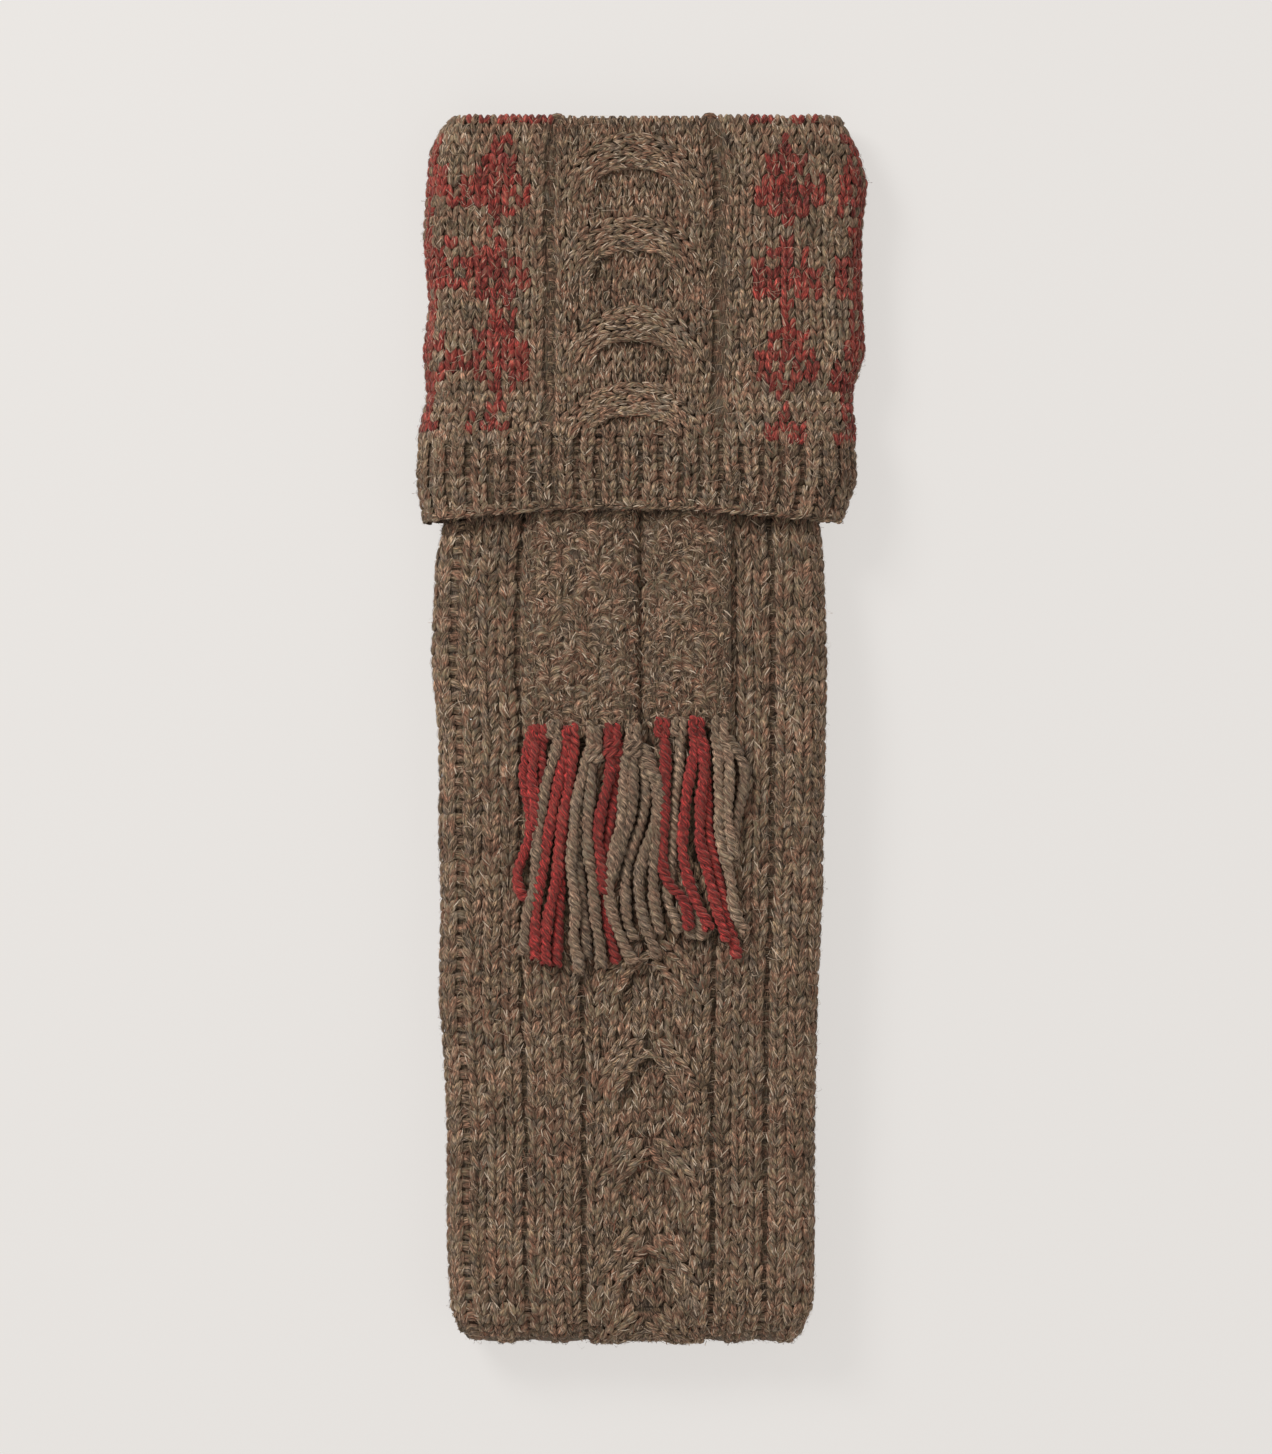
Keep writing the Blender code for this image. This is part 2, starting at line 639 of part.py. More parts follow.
def main():
    for old in list(bpy.data.objects):
        bpy.data.objects.remove(old, do_unlink=True)
    parts = bpy.data.collections.new("field_sock")
    cutters = bpy.data.collections.new("cutters")
    bpy.context.scene.collection.children.link(parts)
    bpy.context.scene.collection.children.link(cutters)
    make_leg(parts)
    make_ankle(parts)
    make_foot_pieces(parts)
    make_cuff(parts)
    make_welt(parts)
    make_garter(parts)
    tabs = {}
    for name, side, width_share, length_share in TABS:
        tabs[name] = make_tab(name, side, width_share, length_share, parts)
    for row in FRINGE:
        make_tassel(row, tabs[row[1]], parts, cutters)


main()
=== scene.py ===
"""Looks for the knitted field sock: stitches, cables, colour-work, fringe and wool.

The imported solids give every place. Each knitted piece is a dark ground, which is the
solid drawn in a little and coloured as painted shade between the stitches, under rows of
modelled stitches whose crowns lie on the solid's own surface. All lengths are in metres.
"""

import math

import bmesh
import bpy
import numpy as np
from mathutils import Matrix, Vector


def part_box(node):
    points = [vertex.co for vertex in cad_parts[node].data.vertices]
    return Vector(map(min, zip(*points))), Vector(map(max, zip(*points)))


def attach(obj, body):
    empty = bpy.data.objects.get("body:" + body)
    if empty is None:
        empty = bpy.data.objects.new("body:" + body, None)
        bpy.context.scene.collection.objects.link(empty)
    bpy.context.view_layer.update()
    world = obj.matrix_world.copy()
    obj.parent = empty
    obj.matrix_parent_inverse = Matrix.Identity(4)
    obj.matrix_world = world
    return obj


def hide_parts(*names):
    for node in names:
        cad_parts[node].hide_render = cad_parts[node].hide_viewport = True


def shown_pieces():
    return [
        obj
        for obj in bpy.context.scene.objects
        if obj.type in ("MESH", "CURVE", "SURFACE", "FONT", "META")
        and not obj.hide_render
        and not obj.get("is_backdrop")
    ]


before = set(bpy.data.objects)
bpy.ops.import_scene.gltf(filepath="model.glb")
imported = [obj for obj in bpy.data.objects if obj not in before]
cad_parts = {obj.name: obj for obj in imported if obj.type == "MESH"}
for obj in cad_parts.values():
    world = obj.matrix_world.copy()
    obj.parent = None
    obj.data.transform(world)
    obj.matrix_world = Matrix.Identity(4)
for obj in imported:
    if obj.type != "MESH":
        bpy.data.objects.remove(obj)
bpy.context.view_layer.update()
RNG = np.random.default_rng(1144)

# The sock's own sizes
PIXEL = 0.00028             # one pixel of the photo on the sock, from the stitch gauge
ORIGIN_PX, ORIGIN_PY = 641, 729     # the frame's origin in the photo
PHOTO_HEIGHT_PX = 1454
MIDDLE_PX, MIDDLE_PY = 636, 727     # the photo's middle
AXIS_PX = 630
AXIS_X = -0.0030            # the leg's axis, near pixel 630
SOCK_LENGTH = 0.3455
LEG_WIDTH = 0.1117
WALL = 0.0030
LEG_HALF = 0.0058
FOOT_HALF = 0.0054
CLEARANCE = 0.0003
TOP_Y = SOCK_LENGTH / 2
WELT_TOP_Y = 0.08155
HEM_Y = 0.05885
HEM_ARCH = 0.0034
GARTER_LOW_Y = 0.06375
GARTER_HIGH_Y = 0.08095
GARTER_THICKNESS = 0.0024
CUFF_SETTLE = 0.0140
LEG_SETTLE = 0.0560
LEG_OVER_FOOT_Z = 0.0169
FOLD_RADIUS = 0.00575
FOLD_HALF = 0.00515
FOLD_Y = -0.16185
TOE_Y = 0.04525
ROLL_Y = 0.1696
FLOOR_GAP = 0.00004         # stitches stay this far above the floor
GROUND_DEPTH = 0.0011       # how far the dark ground, painted shade between the stitches, lies under the stitches' crowns

LEG_OUTLINE = np.array([
    (0.000, 0.847, 1.006), (0.015, 0.911, 1.042), (0.031, 0.956, 1.097),
    (0.055, 0.967, 1.137), (0.100, 0.987, 1.107), (0.152, 0.957, 1.112),
    (0.193, 0.987, 1.127), (0.221, 0.972, 1.070), (0.266, 0.960, 1.025),
    (0.298, 0.970, 1.035), (0.331, 0.940, 0.960), (0.363, 0.982, 0.982),
    (0.444, 1.000, 0.995), (0.509, 0.962, 0.987), (0.590, 0.962, 0.977),
    (0.639, 0.952, 0.972), (0.720, 0.962, 0.947), (0.768, 0.937, 0.942),
    (0.817, 0.922, 0.932), (0.914, 0.922, 0.932), (0.963, 0.905, 0.925)])
FOOT_OUTLINE = np.array([
    (0.00, 0.900, 0.925), (0.12, 0.880, 0.930), (0.22, 0.840, 0.905),
    (0.31, 0.800, 0.820), (0.38, 0.780, 0.755), (0.55, 0.775, 0.735),
    (0.80, 0.760, 0.725), (0.86, 0.720, 0.690), (0.91, 0.650, 0.620),
    (0.96, 0.520, 0.500), (1.00, 0.330, 0.320)])


def smooth(share):
    share = np.clip(share, 0.0, 1.0)
    return share * share * (3 - 2 * share)


def outline(table, share, side):
    return np.interp(share, table[:, 0], table[:, side + 1]) * LEG_WIDTH / 2


def cuff_ease(y):
    settle = smooth((GARTER_HIGH_Y + CUFF_SETTLE - y) / CUFF_SETTLE)
    return CLEARANCE + (GARTER_THICKNESS + CLEARANCE) * settle


def leg_height(y):
    on_floor = LEG_HALF + cuff_ease(y) + WALL
    climb = smooth((HEM_Y - y) / LEG_SETTLE)
    return on_floor + (LEG_OVER_FOOT_Z - on_floor) * climb


def leg_sides(y):
    """Half widths of the leg, to the left and to the right of its axis."""
    share = (TOP_Y - y) / SOCK_LENGTH
    return outline(LEG_OUTLINE, share, 0), outline(LEG_OUTLINE, share, 1)


def px_x(px):
    return (px - ORIGIN_PX) * PIXEL


def px_y(py):
    return (ORIGIN_PY - py) * PIXEL


def way(x, y):
    """How far along a line of points each of them lies."""
    return np.concatenate([[0.0], np.cumsum(np.hypot(np.diff(x), np.diff(y)))])


# The tube that stitches are put on
class Tube:
    """A flattened tube along a path. p is the way down the front, s the way round it."""

    def __init__(self, y, z, front_y, front_z, left, right, half):
        self.y, self.z = np.array(y), np.array(z)
        self.fy, self.fz = np.array(front_y), np.array(front_z)
        self.left, self.right, self.half = np.array(left), np.array(right), np.array(half)
        self.p = way(self.y + self.fy * self.half, self.z + self.fz * self.half)

    def at(self, p, values):
        return np.interp(p, self.p, values)

    def p_of_y(self, y):
        """The way down the front to a height y, on the part that faces up."""
        count = int(np.argmin(self.y)) + 1
        order = np.argsort(self.y[:count])
        return np.interp(y, self.y[:count][order], self.p[:count][order])

    def place(self, s, p, out):
        """Points and outward directions for arc-lengths s, ways p and distances out."""
        s, p, out = np.broadcast_arrays(np.asarray(s, float), p, out)
        half = self.at(p, self.half)
        flat_r = self.at(p, self.right) - half
        flat_l = self.at(p, self.left) - half
        side = np.where(s >= 0, 1.0, -1.0)
        flat = np.where(s >= 0, flat_r, flat_l)
        run = np.abs(s)
        turn = np.clip((run - flat) / half, 0, math.pi)
        radius = half + out
        beyond = np.maximum(run - flat - math.pi * half, 0)
        across = np.minimum(run, flat) + radius * np.sin(turn) - beyond
        above = radius * np.cos(turn)
        fy, fz = self.at(p, self.fy), self.at(p, self.fz)
        length = np.hypot(fy, fz)
        fy, fz = fy / length, fz / length
        point = np.stack([AXIS_X + side * across, self.at(p, self.y) + fy * above,
                          self.at(p, self.z) + fz * above], -1)
        normal = np.stack([side * np.sin(turn), fy * np.cos(turn), fz * np.cos(turn)], -1)
        return point, normal

    def reach(self, p, side):
        """Arc-length from the axis to the outermost point of one side."""
        half = self.at(p, self.half)
        return self.at(p, self.right if side > 0 else self.left) - half + half * math.pi / 2

    def spread(self, s_px, p, reference, around):
        """Chart pixels to arc-lengths at p: the wales spread where the tube is wider.

        The chart was read at reference. Past around, half the way round, s comes back from
        the other side.
        """
        right, left = (self.reach(p, side) / self.reach(reference, side) for side in (1, -1))
        s = np.asarray(s_px, float) * PIXEL
        wrap = np.where(s > around, s - 2 * around, s)
        return np.where(wrap >= 0, wrap * right, wrap * left)


def leg_tube():
    """The leg from the hem down, round the bottom fold and along the foot."""
    y = np.linspace(0.080, FOLD_Y, 120)
    left, right = leg_sides(y)
    turn = np.linspace(0, math.pi, 25)[1:-1]
    bend = np.sin(turn)
    foot_l, foot_r = (outline(FOOT_OUTLINE, 0.05, side) for side in (0, 1))
    flat = np.where(turn < math.pi / 2, LEG_HALF, FOOT_HALF)
    draw = 1 - 0.045 * bend
    foot_y = np.linspace(FOLD_Y, TOE_Y - 0.003, 90)
    foot_share = (foot_y + TOP_Y) / (TOE_Y + TOP_Y)
    foot_half = np.minimum(FOOT_HALF, (leg_height(foot_y) - LEG_HALF - CLEARANCE) / 2)
    return Tube(
        np.concatenate([y, FOLD_Y - FOLD_RADIUS * bend, foot_y]),
        np.concatenate([leg_height(y), FOOT_HALF + FOLD_RADIUS + FOLD_RADIUS * np.cos(turn),
                        foot_half]),
        np.concatenate([np.zeros_like(y), -bend, np.zeros_like(foot_y)]),
        np.concatenate([np.ones_like(y), np.cos(turn), -np.ones_like(foot_y)]),
        np.concatenate([left, (left[-1] + (foot_l - left[-1]) * turn / math.pi) * draw,
                        outline(FOOT_OUTLINE, foot_share, 0)]),
        np.concatenate([right, (right[-1] + (foot_r - right[-1]) * turn / math.pi) * draw,
                        outline(FOOT_OUTLINE, foot_share, 1)]),
        np.concatenate([np.full_like(y, LEG_HALF),
                        flat + (FOLD_HALF - flat) * smooth(bend), foot_half]))


def tube_over_leg(y, out):
    """A level tube that lies out from the leg's own surface."""
    left, right = leg_sides(y)
    return Tube(y, leg_height(y), np.zeros_like(y), np.ones_like(y), left + out, right + out,
                LEG_HALF + out + np.zeros_like(y))


def cuff_tube():
    """The outside of the cuff and welt, from the rolled top down to the hem."""
    y = np.linspace(ROLL_Y + 0.0024, HEM_Y - 0.002, 90)
    out = cuff_ease(y) + WALL
    over = np.clip((y - ROLL_Y) / 0.0032, 0, 1)     # the top rolls over inwards
    out = out - 0.0032 * (1 - np.sqrt(1 - over * over))
    return tube_over_leg(y, out)


LEG_TUBE = leg_tube()
CUFF_TUBE = cuff_tube()


# Mesh from strands
class Yarns:
    """Collects many small half-round strands and makes one mesh of them."""

    def __init__(self):
        self.points, self.faces, self.uvs, self.tones, self.kinds = [], [], [], [], []
        self.count = 0

    def add(self, spine, normal, width, height, sides=5, tone=None, kind=0, span=1.15,
            closed=False):
        """spine and normal are (strands, steps, 3); width and height (strands, steps)."""
        strands, steps = spine.shape[:2]
        if strands == 0:
            return
        along = np.gradient(spine, axis=1)
        along /= np.linalg.norm(along, axis=2, keepdims=True) + 1e-12
        across = np.cross(along, normal)
        across /= np.linalg.norm(across, axis=2, keepdims=True) + 1e-12
        up = np.cross(across, along)
        if closed:
            angle = np.linspace(0, 2 * math.pi, sides + 1)
        else:
            angle = np.linspace(math.pi / 2 - span * math.pi / 2,
                                math.pi / 2 + span * math.pi / 2, sides)
        cos, sin = np.cos(angle), np.sin(angle)
        width, height = (np.broadcast_to(size, (strands, steps)) for size in (width, height))
        points = (spine[:, :, None] + across[:, :, None] * (width[..., None] * cos)[..., None]
                  + up[:, :, None] * (height[..., None] * sin)[..., None])
        ring = len(angle)
        run = np.concatenate([np.zeros((strands, 1)), np.cumsum(
            np.linalg.norm(np.diff(spine, axis=1), axis=2), axis=1)], axis=1)
        tone = RNG.random(strands) if tone is None else np.broadcast_to(tone, strands)
        u = run + (RNG.random(strands) * 3.0)[:, None]
        v = angle * width.mean()
        uv = np.stack(np.broadcast_arrays(u[:, :, None], v[None, None, :]), -1)
        index = self.count + np.arange(strands * steps * ring).reshape(strands, steps, ring)
        quads = np.stack([index[:, :-1, :-1], index[:, :-1, 1:], index[:, 1:, 1:],
                          index[:, 1:, :-1]], -1).reshape(-1, 4)
        self.points.append(points.reshape(-1, 3))
        self.faces.append(quads)
        self.uvs.append(uv.reshape(-1, 2))
        self.tones.append(np.repeat(tone, steps * ring))
        kind = np.broadcast_to(kind, strands)
        self.kinds.append(np.repeat(kind, (steps - 1) * (ring - 1)))
        self.count += strands * steps * ring

    def mesh(self, name):
        points = np.concatenate(self.points)
        points[:, 2] = np.maximum(points[:, 2], FLOOR_GAP)
        faces = np.concatenate(self.faces)
        mesh = bpy.data.meshes.new(name)
        mesh.vertices.add(len(points))
        mesh.vertices.foreach_set("co", points.astype(np.float32).ravel())
        mesh.loops.add(len(faces) * 4)
        mesh.loops.foreach_set("vertex_index", faces.astype(np.int32).ravel())
        mesh.polygons.add(len(faces))
        mesh.polygons.foreach_set("loop_start", np.arange(0, len(faces) * 4, 4, dtype=np.int32))
        mesh.polygons.foreach_set("material_index", np.concatenate(self.kinds).astype(np.int32))
        mesh.polygons.foreach_set("use_smooth", np.ones(len(faces), bool))
        mesh.update(calc_edges=True)
        layer = mesh.uv_layers.new(name="yarn")
        uv = np.concatenate(self.uvs)[faces.ravel()]
        layer.data.foreach_set("uv", uv.astype(np.float32).ravel())
        tone = mesh.attributes.new("tone", "FLOAT", "POINT")
        tone.data.foreach_set("value", np.concatenate(self.tones).astype(np.float32))
        return mesh


def jitter(count, amount):
    return RNG.normal(0, amount, count)


def bow(t):
    """A half circle's height over t from 0 to 1."""
    return np.sqrt(np.clip(1 - (2 * t - 1) ** 2, 0, 1))


def add_hairs(hairs, number, path, tube, out, wale, kind, tone):
    """Loose fibres along a path, where path gives s and p for a way t and an offset."""
    count = len(wale)
    for _ in range(number):
        start, length = RNG.uniform(-0.05, 0.75, count), RNG.uniform(0.22, 0.62, count)
        t = start[:, None] + np.array([[0.0, 0.5, 1.0]]) * length[:, None]
        turn = jitter(count, 0.35)[:, None]
        aside = wale * (RNG.uniform(-0.26, 0.26, count)[:, None] + turn * (t - t[:, 1:2]))
        s_line, p_line = path(t, aside)
        lift = RNG.gamma(2.0, 0.00009, count)[:, None]
        point, normal = tube.place(s_line, p_line, out(t) + lift * np.array([[0.3, 1.0, 0.6]]))
        width = np.array([[0.5, 1.0, 0.4]]) * RNG.uniform(0.00007, 0.00015, count)[:, None]
        shade = np.clip(RNG.random(count) * 0.90 + (tone - 0.5) * 0.25 + 0.05, 0, 1)
        hairs.add(point, normal, width, width * 0.3, sides=2, span=1.0, tone=shade, kind=kind)


def knit(tube, s, p, wale, row, tall, builder, angle=0.0, tone=None, kind=0, sink=0.0,
         steps=5, sides=5, hairs=None, hair=2):
    """Knit stitches: two lobes each, which make a V with its point down the wale.

    kind, the yarn's material, is one number or a pair of numbers for each stitch's lobes.
    """
    count = len(s)
    if count == 0:
        return
    kinds = np.broadcast_to(kind, (count, 2))
    wale, row, angle, sink = (np.broadcast_to(value, count)[:, None]
                              for value in (wale, row, angle, sink))
    tone = RNG.random(count) if tone is None else tone
    t = np.linspace(0, 1, steps)[None, :]
    s_mid = (s + jitter(count, 0.00017))[:, None]
    p_mid = (p + jitter(count, 0.00020))[:, None]
    grow = (1 + jitter(count, 0.09))[:, None]
    angle = angle + jitter(count, 0.055)[:, None]
    cos, sin = np.cos(angle), np.sin(angle)
    for number, side in enumerate((-1, 1)):
        kind = kinds[:, number]
        swing = (1 + jitter(count, 0.12))[:, None]

        def path(t, aside=0.0, side=side, swing=swing):
            away = side * wale * (0.075 + 0.325 * swing * np.clip(t, 0, 1.2) ** 0.9) + aside
            up = row * (-0.64 + 1.34 * t)
            return s_mid + away * cos - up * sin, p_mid - away * sin - up * cos

        def depth(t):
            return -tall * (0.92 - 0.54 * bow(t)) - sink

        s_line, p_line = path(t)
        point, normal = tube.place(s_line, p_line, depth(t))
        plump = np.clip(bow(t), 0.38, 1) * grow
        builder.add(point, normal, wale * 0.245 * plump, tall * 0.60 * plump,
                    sides=sides, tone=np.clip(tone + jitter(count, 0.12), 0, 1), kind=kind)
        if hairs is not None and hair:
            add_hairs(hairs, hair, path, tube, lambda t: depth(t) + tall * 0.56 * grow,
                      wale, kind, tone)


def purl(tube, s, p, wale, row, tall, builder, tone=None, sink=0.0, steps=5, sides=4,
         hairs=None, hair=1, lean=0.10):
    """Purl stitches: a low bump that lies across the wale and arches up the leg."""
    count = len(s)
    if count == 0:
        return
    wale, row, sink = (np.broadcast_to(value, count)[:, None] for value in (wale, row, sink))
    tone = RNG.random(count) if tone is None else tone
    t = np.linspace(-1, 1, steps)[None, :]
    s_mid, p_mid = (s + jitter(count, 0.00018))[:, None], (p + jitter(count, 0.00022))[:, None]
    tilt = jitter(count, lean)[:, None]

    def path(t, aside=0.0):
        return s_mid + wale * 0.60 * t, p_mid - row * 0.26 * (1 - t * t) + wale * tilt * t + aside

    s_line, p_line = path(t)
    point, normal = tube.place(s_line, p_line, -tall * (0.50 + 0.50 * t * t) - sink)
    plump = np.clip(np.sqrt(1 - 0.8 * t * t), 0.45, 1) * (1 + jitter(count, 0.10))[:, None]
    builder.add(point, normal, row * 0.40 * plump, tall * 0.55 * plump,
                sides=sides, tone=tone)
    if hairs is not None and hair:
        add_hairs(hairs, hair, lambda t, aside: path(2 * t - 1, aside), tube,
                  lambda t: -tall * 0.05 - sink + 0 * t, wale, 0, tone)


# Materials
def srgb(*values):
    out = []
    for value in values:
        value /= 255
        out.append(value / 12.92 if value <= 0.04045 else ((value + 0.055) / 1.055) ** 2.4)
    return (*out, 1.0)


def add_node(tree, kind, inputs=(), **settings):
    """A new node with its settings, and its inputs set to values or linked to sockets."""
    node = tree.nodes.new("ShaderNode" + kind)
    for name, value in settings.items():
        setattr(node, name, value)
    set_inputs(tree, node, inputs)
    return node


def set_inputs(tree, node, inputs):
    for name, value in dict(inputs).items():
        if isinstance(value, bpy.types.NodeSocket):
            tree.links.new(value, node.inputs[name])
        else:
            node.inputs[name].default_value = value


def ramp(tree, fac, stops):
    """A colour for each value of fac, blended between stops."""
    node = add_node(tree, "ValToRGB", {"Fac": fac})
    elements = node.color_ramp.elements
    while len(elements) < len(stops):
        elements.new(0.5)
    for element, (at, colour) in zip(elements, stops):
        element.position = at
        element.color = colour
    return node.outputs["Color"]


def new_material(name, values):
    """A material, its node tree and its shader, whose sockets get these values."""
    material = bpy.data.materials.new(name)
    material.use_nodes = True
    shader = material.node_tree.nodes["Principled BSDF"]
    set_inputs(material.node_tree, shader, values)
    return material, material.node_tree, shader


def wool(name, base, flecks, dark=1.0, contrast=1.0, mix=1.0, patchy=1.0):
    """Heathered wool: fibres along the yarn, with flecks of other colours in them."""
    material, tree, shader = new_material(name, {
        "Roughness": 0.95, "Specular IOR Level": 0.15, "Sheen Weight": 0.18,
        "Sheen Roughness": 0.6, "Sheen Tint": (0.9, 0.80, 0.70, 1)})
    uv = add_node(tree, "UVMap", uv_map="yarn").outputs["UV"]
    place = add_node(tree, "TexCoord").outputs["Object"]
    tone = add_node(tree, "Attribute", attribute_name="tone").outputs["Fac"]

    def noise(vector, scale, detail, roughness=0.5):
        values = {"Vector": vector, "Scale": scale, "Detail": detail, "Roughness": roughness}
        return add_node(tree, "TexNoise", values).outputs["Fac"]

    def stretched(scale, location=(0, 0, 0)):
        values = {"Vector": uv, "Scale": scale, "Location": location}
        return add_node(tree, "Mapping", values).outputs["Vector"]

    # fibres are long along the yarn (u) and fine across it (v); a fleck is one such fibre
    fibres = noise(stretched((620, 3300, 1)), 1.0, 2.0, 0.55)
    specks = noise(stretched((330, 1700, 1), (7.3, 3.1, 0)), 1.0, 1.5)
    body = ramp(tree, fibres, [
        (at, srgb(*(value * factor for value in base)))
        for at, factor in ((0.30, 0.25), (0.45, 0.74), (0.55, 1.12), (0.72, 1.90))])
    colours = ramp(tree, specks, list(zip((0.0, 0.36, 0.43, 0.50, 0.57, 0.65),
                                          (flecks[0], *flecks))))
    # the share of flecks changes slowly, over some stitches
    amount = ramp(tree, noise(place, 110.0, 3.0), [
        (0.38, (0.10 * mix,) * 3 + (1,)), (0.64, (0.60 * mix,) * 3 + (1,))])
    mixed = add_node(tree, "Mix", {"Factor": amount, "A": body, "B": colours},
                     data_type="RGBA")
    # patches that lean to rust, olive and grey
    leans = ramp(tree, noise(place, 240.0, 2.0), [
        (0.36, (0.90, 0.99, 1.06, 1)), (0.46, (0.97, 1.03, 0.92, 1)),
        (0.54, (1.0, 1.0, 1.0, 1)), (0.64, (1.13, 0.97, 0.93, 1))])
    tinted = add_node(tree, "Mix", {"Factor": patchy, "A": mixed.outputs["Result"], "B": leans},
                      data_type="RGBA", blend_type="MULTIPLY")
    # each stitch a little lighter or darker
    gain = add_node(tree, "MapRange", {"Value": tone, "To Min": (1 - 0.36 * contrast) * dark,
                                       "To Max": (1 + 0.36 * contrast) * dark})
    scaled = add_node(tree, "VectorMath", {0: tinted.outputs["Result"],
                                           "Scale": gain.outputs["Result"]}, operation="SCALE")
    bump = add_node(tree, "Bump", {"Strength": 0.7, "Distance": 0.0003, "Height": fibres})
    set_inputs(tree, shader, {"Base Color": scaled.outputs["Vector"],
                              "Normal": bump.outputs["Normal"]})
    return material


def hair_wool(name, stops):
    """Loose fibres, each of one colour that its tone picks."""
    material, tree, shader = new_material(name, {"Roughness": 0.9, "Specular IOR Level": 0.2})
    tone = add_node(tree, "Attribute", attribute_name="tone").outputs["Fac"]
    set_inputs(tree, shader, {"Base Color": ramp(tree, tone, stops)})
    return material


TAUPE = (124, 100, 82)
MARL_FLECKS = (srgb(72, 56, 46), srgb(124, 82, 62), srgb(116, 98, 80), srgb(122, 112, 92),
               srgb(176, 152, 128))
RED = (125, 56, 50)
RED_FLECKS = (srgb(96, 30, 30), srgb(132, 46, 42), srgb(146, 56, 50), srgb(130, 84, 68),
              srgb(176, 104, 88))
MARL = wool("marl_wool", TAUPE, MARL_FLECKS)
MADDER = wool("madder_wool", RED, RED_FLECKS)
# the ground's wool is the marl painted darker: painted shade in the gaps between the stitches
SHADE_GROUND = wool("marl_ground_painted_shade", TAUPE, MARL_FLECKS, dark=0.55, contrast=0.3)
MARL_YARN = wool("marl_plied", (125, 104, 87), MARL_FLECKS, mix=0.9, patchy=0.5)
MADDER_YARN = wool("madder_plied", (130, 43, 41), RED_FLECKS, mix=0.6, patchy=0.3)
MARL_HAIR = hair_wool("marl_fibres", [
    (0.0, srgb(34, 26, 22)), (0.24, srgb(66, 51, 42)), (0.42, srgb(116, 94, 76)),
    (0.56, srgb(140, 92, 72)), (0.68, srgb(132, 120, 98)), (0.82, srgb(178, 152, 128)),
    (1.0, srgb(222, 202, 178))])
MADDER_HAIR = hair_wool("madder_fibres", [
    (0.0, srgb(50, 16, 18)), (0.30, srgb(104, 32, 32)), (0.55, srgb(150, 58, 50)),
    (0.70, srgb(120, 92, 76)), (0.85, srgb(164, 132, 110)), (1.0, srgb(200, 164, 142))])


# Pieces
def ground(builder_mesh, nodes, depth):
    """Add the CAD solids of these nodes, drawn in by depth, to a mesh as its ground."""
    work = bmesh.new()
    for node in nodes:
        part = bmesh.new()
        part.from_mesh(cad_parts[node].data)
        bmesh.ops.remove_doubles(part, verts=part.verts, dist=1e-6)
        part.normal_update()
        for vert in part.verts:
            # along the leg only at the rolled top and the bottom fold, so that the
            # lengths of the tube still meet
            normal = vert.normal.copy()
            if FOLD_Y - 0.0002 < vert.co.y < ROLL_Y - 0.002:
                level = math.hypot(normal.x, normal.z)
                if level > 0.3:
                    normal.x, normal.z = normal.x / level, normal.z / level
                normal.y = 0.0
            elif vert.co.y < FOLD_Y:
                normal.y *= 0.2
            vert.co -= normal * depth
        data = bpy.data.meshes.new("ground")
        part.to_mesh(data)
        part.free()
        work.from_mesh(data)
        bpy.data.meshes.remove(data)
    layer = work.loops.layers.uv.get("yarn") or work.loops.layers.uv.new("yarn")
    for face in work.faces:
        face.smooth = True
        face.material_index = 0
        for loop in face.loops:
            loop[layer].uv = (loop.vert.co.y + loop.vert.co.z, loop.vert.co.x + loop.vert.co.z)
    work.to_mesh(builder_mesh)
    work.free()


def make_piece(name, builder, materials, nodes=(), depth=GROUND_DEPTH):
    """Join a ground, if it has depth, and its stitches into a piece that stands for nodes."""
    stitches = bpy.data.objects.new(name, builder.mesh(name))
    bpy.context.scene.collection.objects.link(stitches)
    for material in materials:
        stitches.data.materials.append(material)
    if nodes and depth:
        base = bpy.data.meshes.new(name + "_ground")
        ground(base, nodes, depth)
        tone = base.attributes.new("tone", "FLOAT", "POINT")
        tone.data.foreach_set("value", np.full(len(base.vertices), 0.5, np.float32))
        base_object = bpy.data.objects.new(name + "_ground", base)
        bpy.context.scene.collection.objects.link(base_object)
        # the dark ground's material is painted shade between the stitches
        base.materials.append(SHADE_GROUND)
        with bpy.context.temp_override(active_object=stitches, object=stitches,
                                       selected_objects=[stitches, base_object],
                                       selected_editable_objects=[stitches, base_object]):
            bpy.ops.object.join()
    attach(stitches, "root")
    if nodes:
        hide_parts(*nodes)
    return stitches


# the leg's wales, from a count of the photo at y = 1100, as pixels round the tube
K3, P1 = "knit", "purl"
LEG_CHART = [(-219.3, -174.3, K3), (-174.3, -157, P1), (-157, -112, K3), (-112, -99, P1),
             (-99, -54, K3), (-54, -40, P1), (75, 89, P1), (89, 128, K3), (128, 142, P1),
             (142, 187, K3), (187, 201, P1)]
for turn in range(6):
    start = 201 + 61.6 * turn
    LEG_CHART += [(start, start + 46.5, K3), (start + 46.5, start + 61.6, P1)]
LEG_CHART = LEG_CHART[:-1]
LEG_CHART.append((201 + 61.6 * 5 + 46.5, 570.7, P1))
LEG_CENTRE, LEG_CABLE_HALF = 17.5, 62.0
LEG_ROW_PX = 12.2
LEG_ROW = LEG_ROW_PX * PIXEL
CHART_Y = px_y(1100)
LEG_AROUND = 395.0 * PIXEL       # half way round, where the back's two sides meet


def leg_scale(s_px, p):
    """Chart pixels to arc-lengths at p on the leg."""
    return LEG_TUBE.spread(s_px, p, LEG_TUBE.p_of_y(CHART_Y), LEG_AROUND)


def wales(chart, kind):
    """Centre, width and number in its rib of every wale of one kind."""
    found = []
    for low, high, what in chart:
        if what != kind:
            continue
        count = 3 if what == K3 else 1
        bulge = 4.4 if what == K3 else 0.0      # ribs bulge over the grooves
        low, high = low - bulge, high + bulge
        width = (high - low) / count
        found += [(low + width * (number + 0.5), width, number) for number in range(count)]
    return np.array(found)


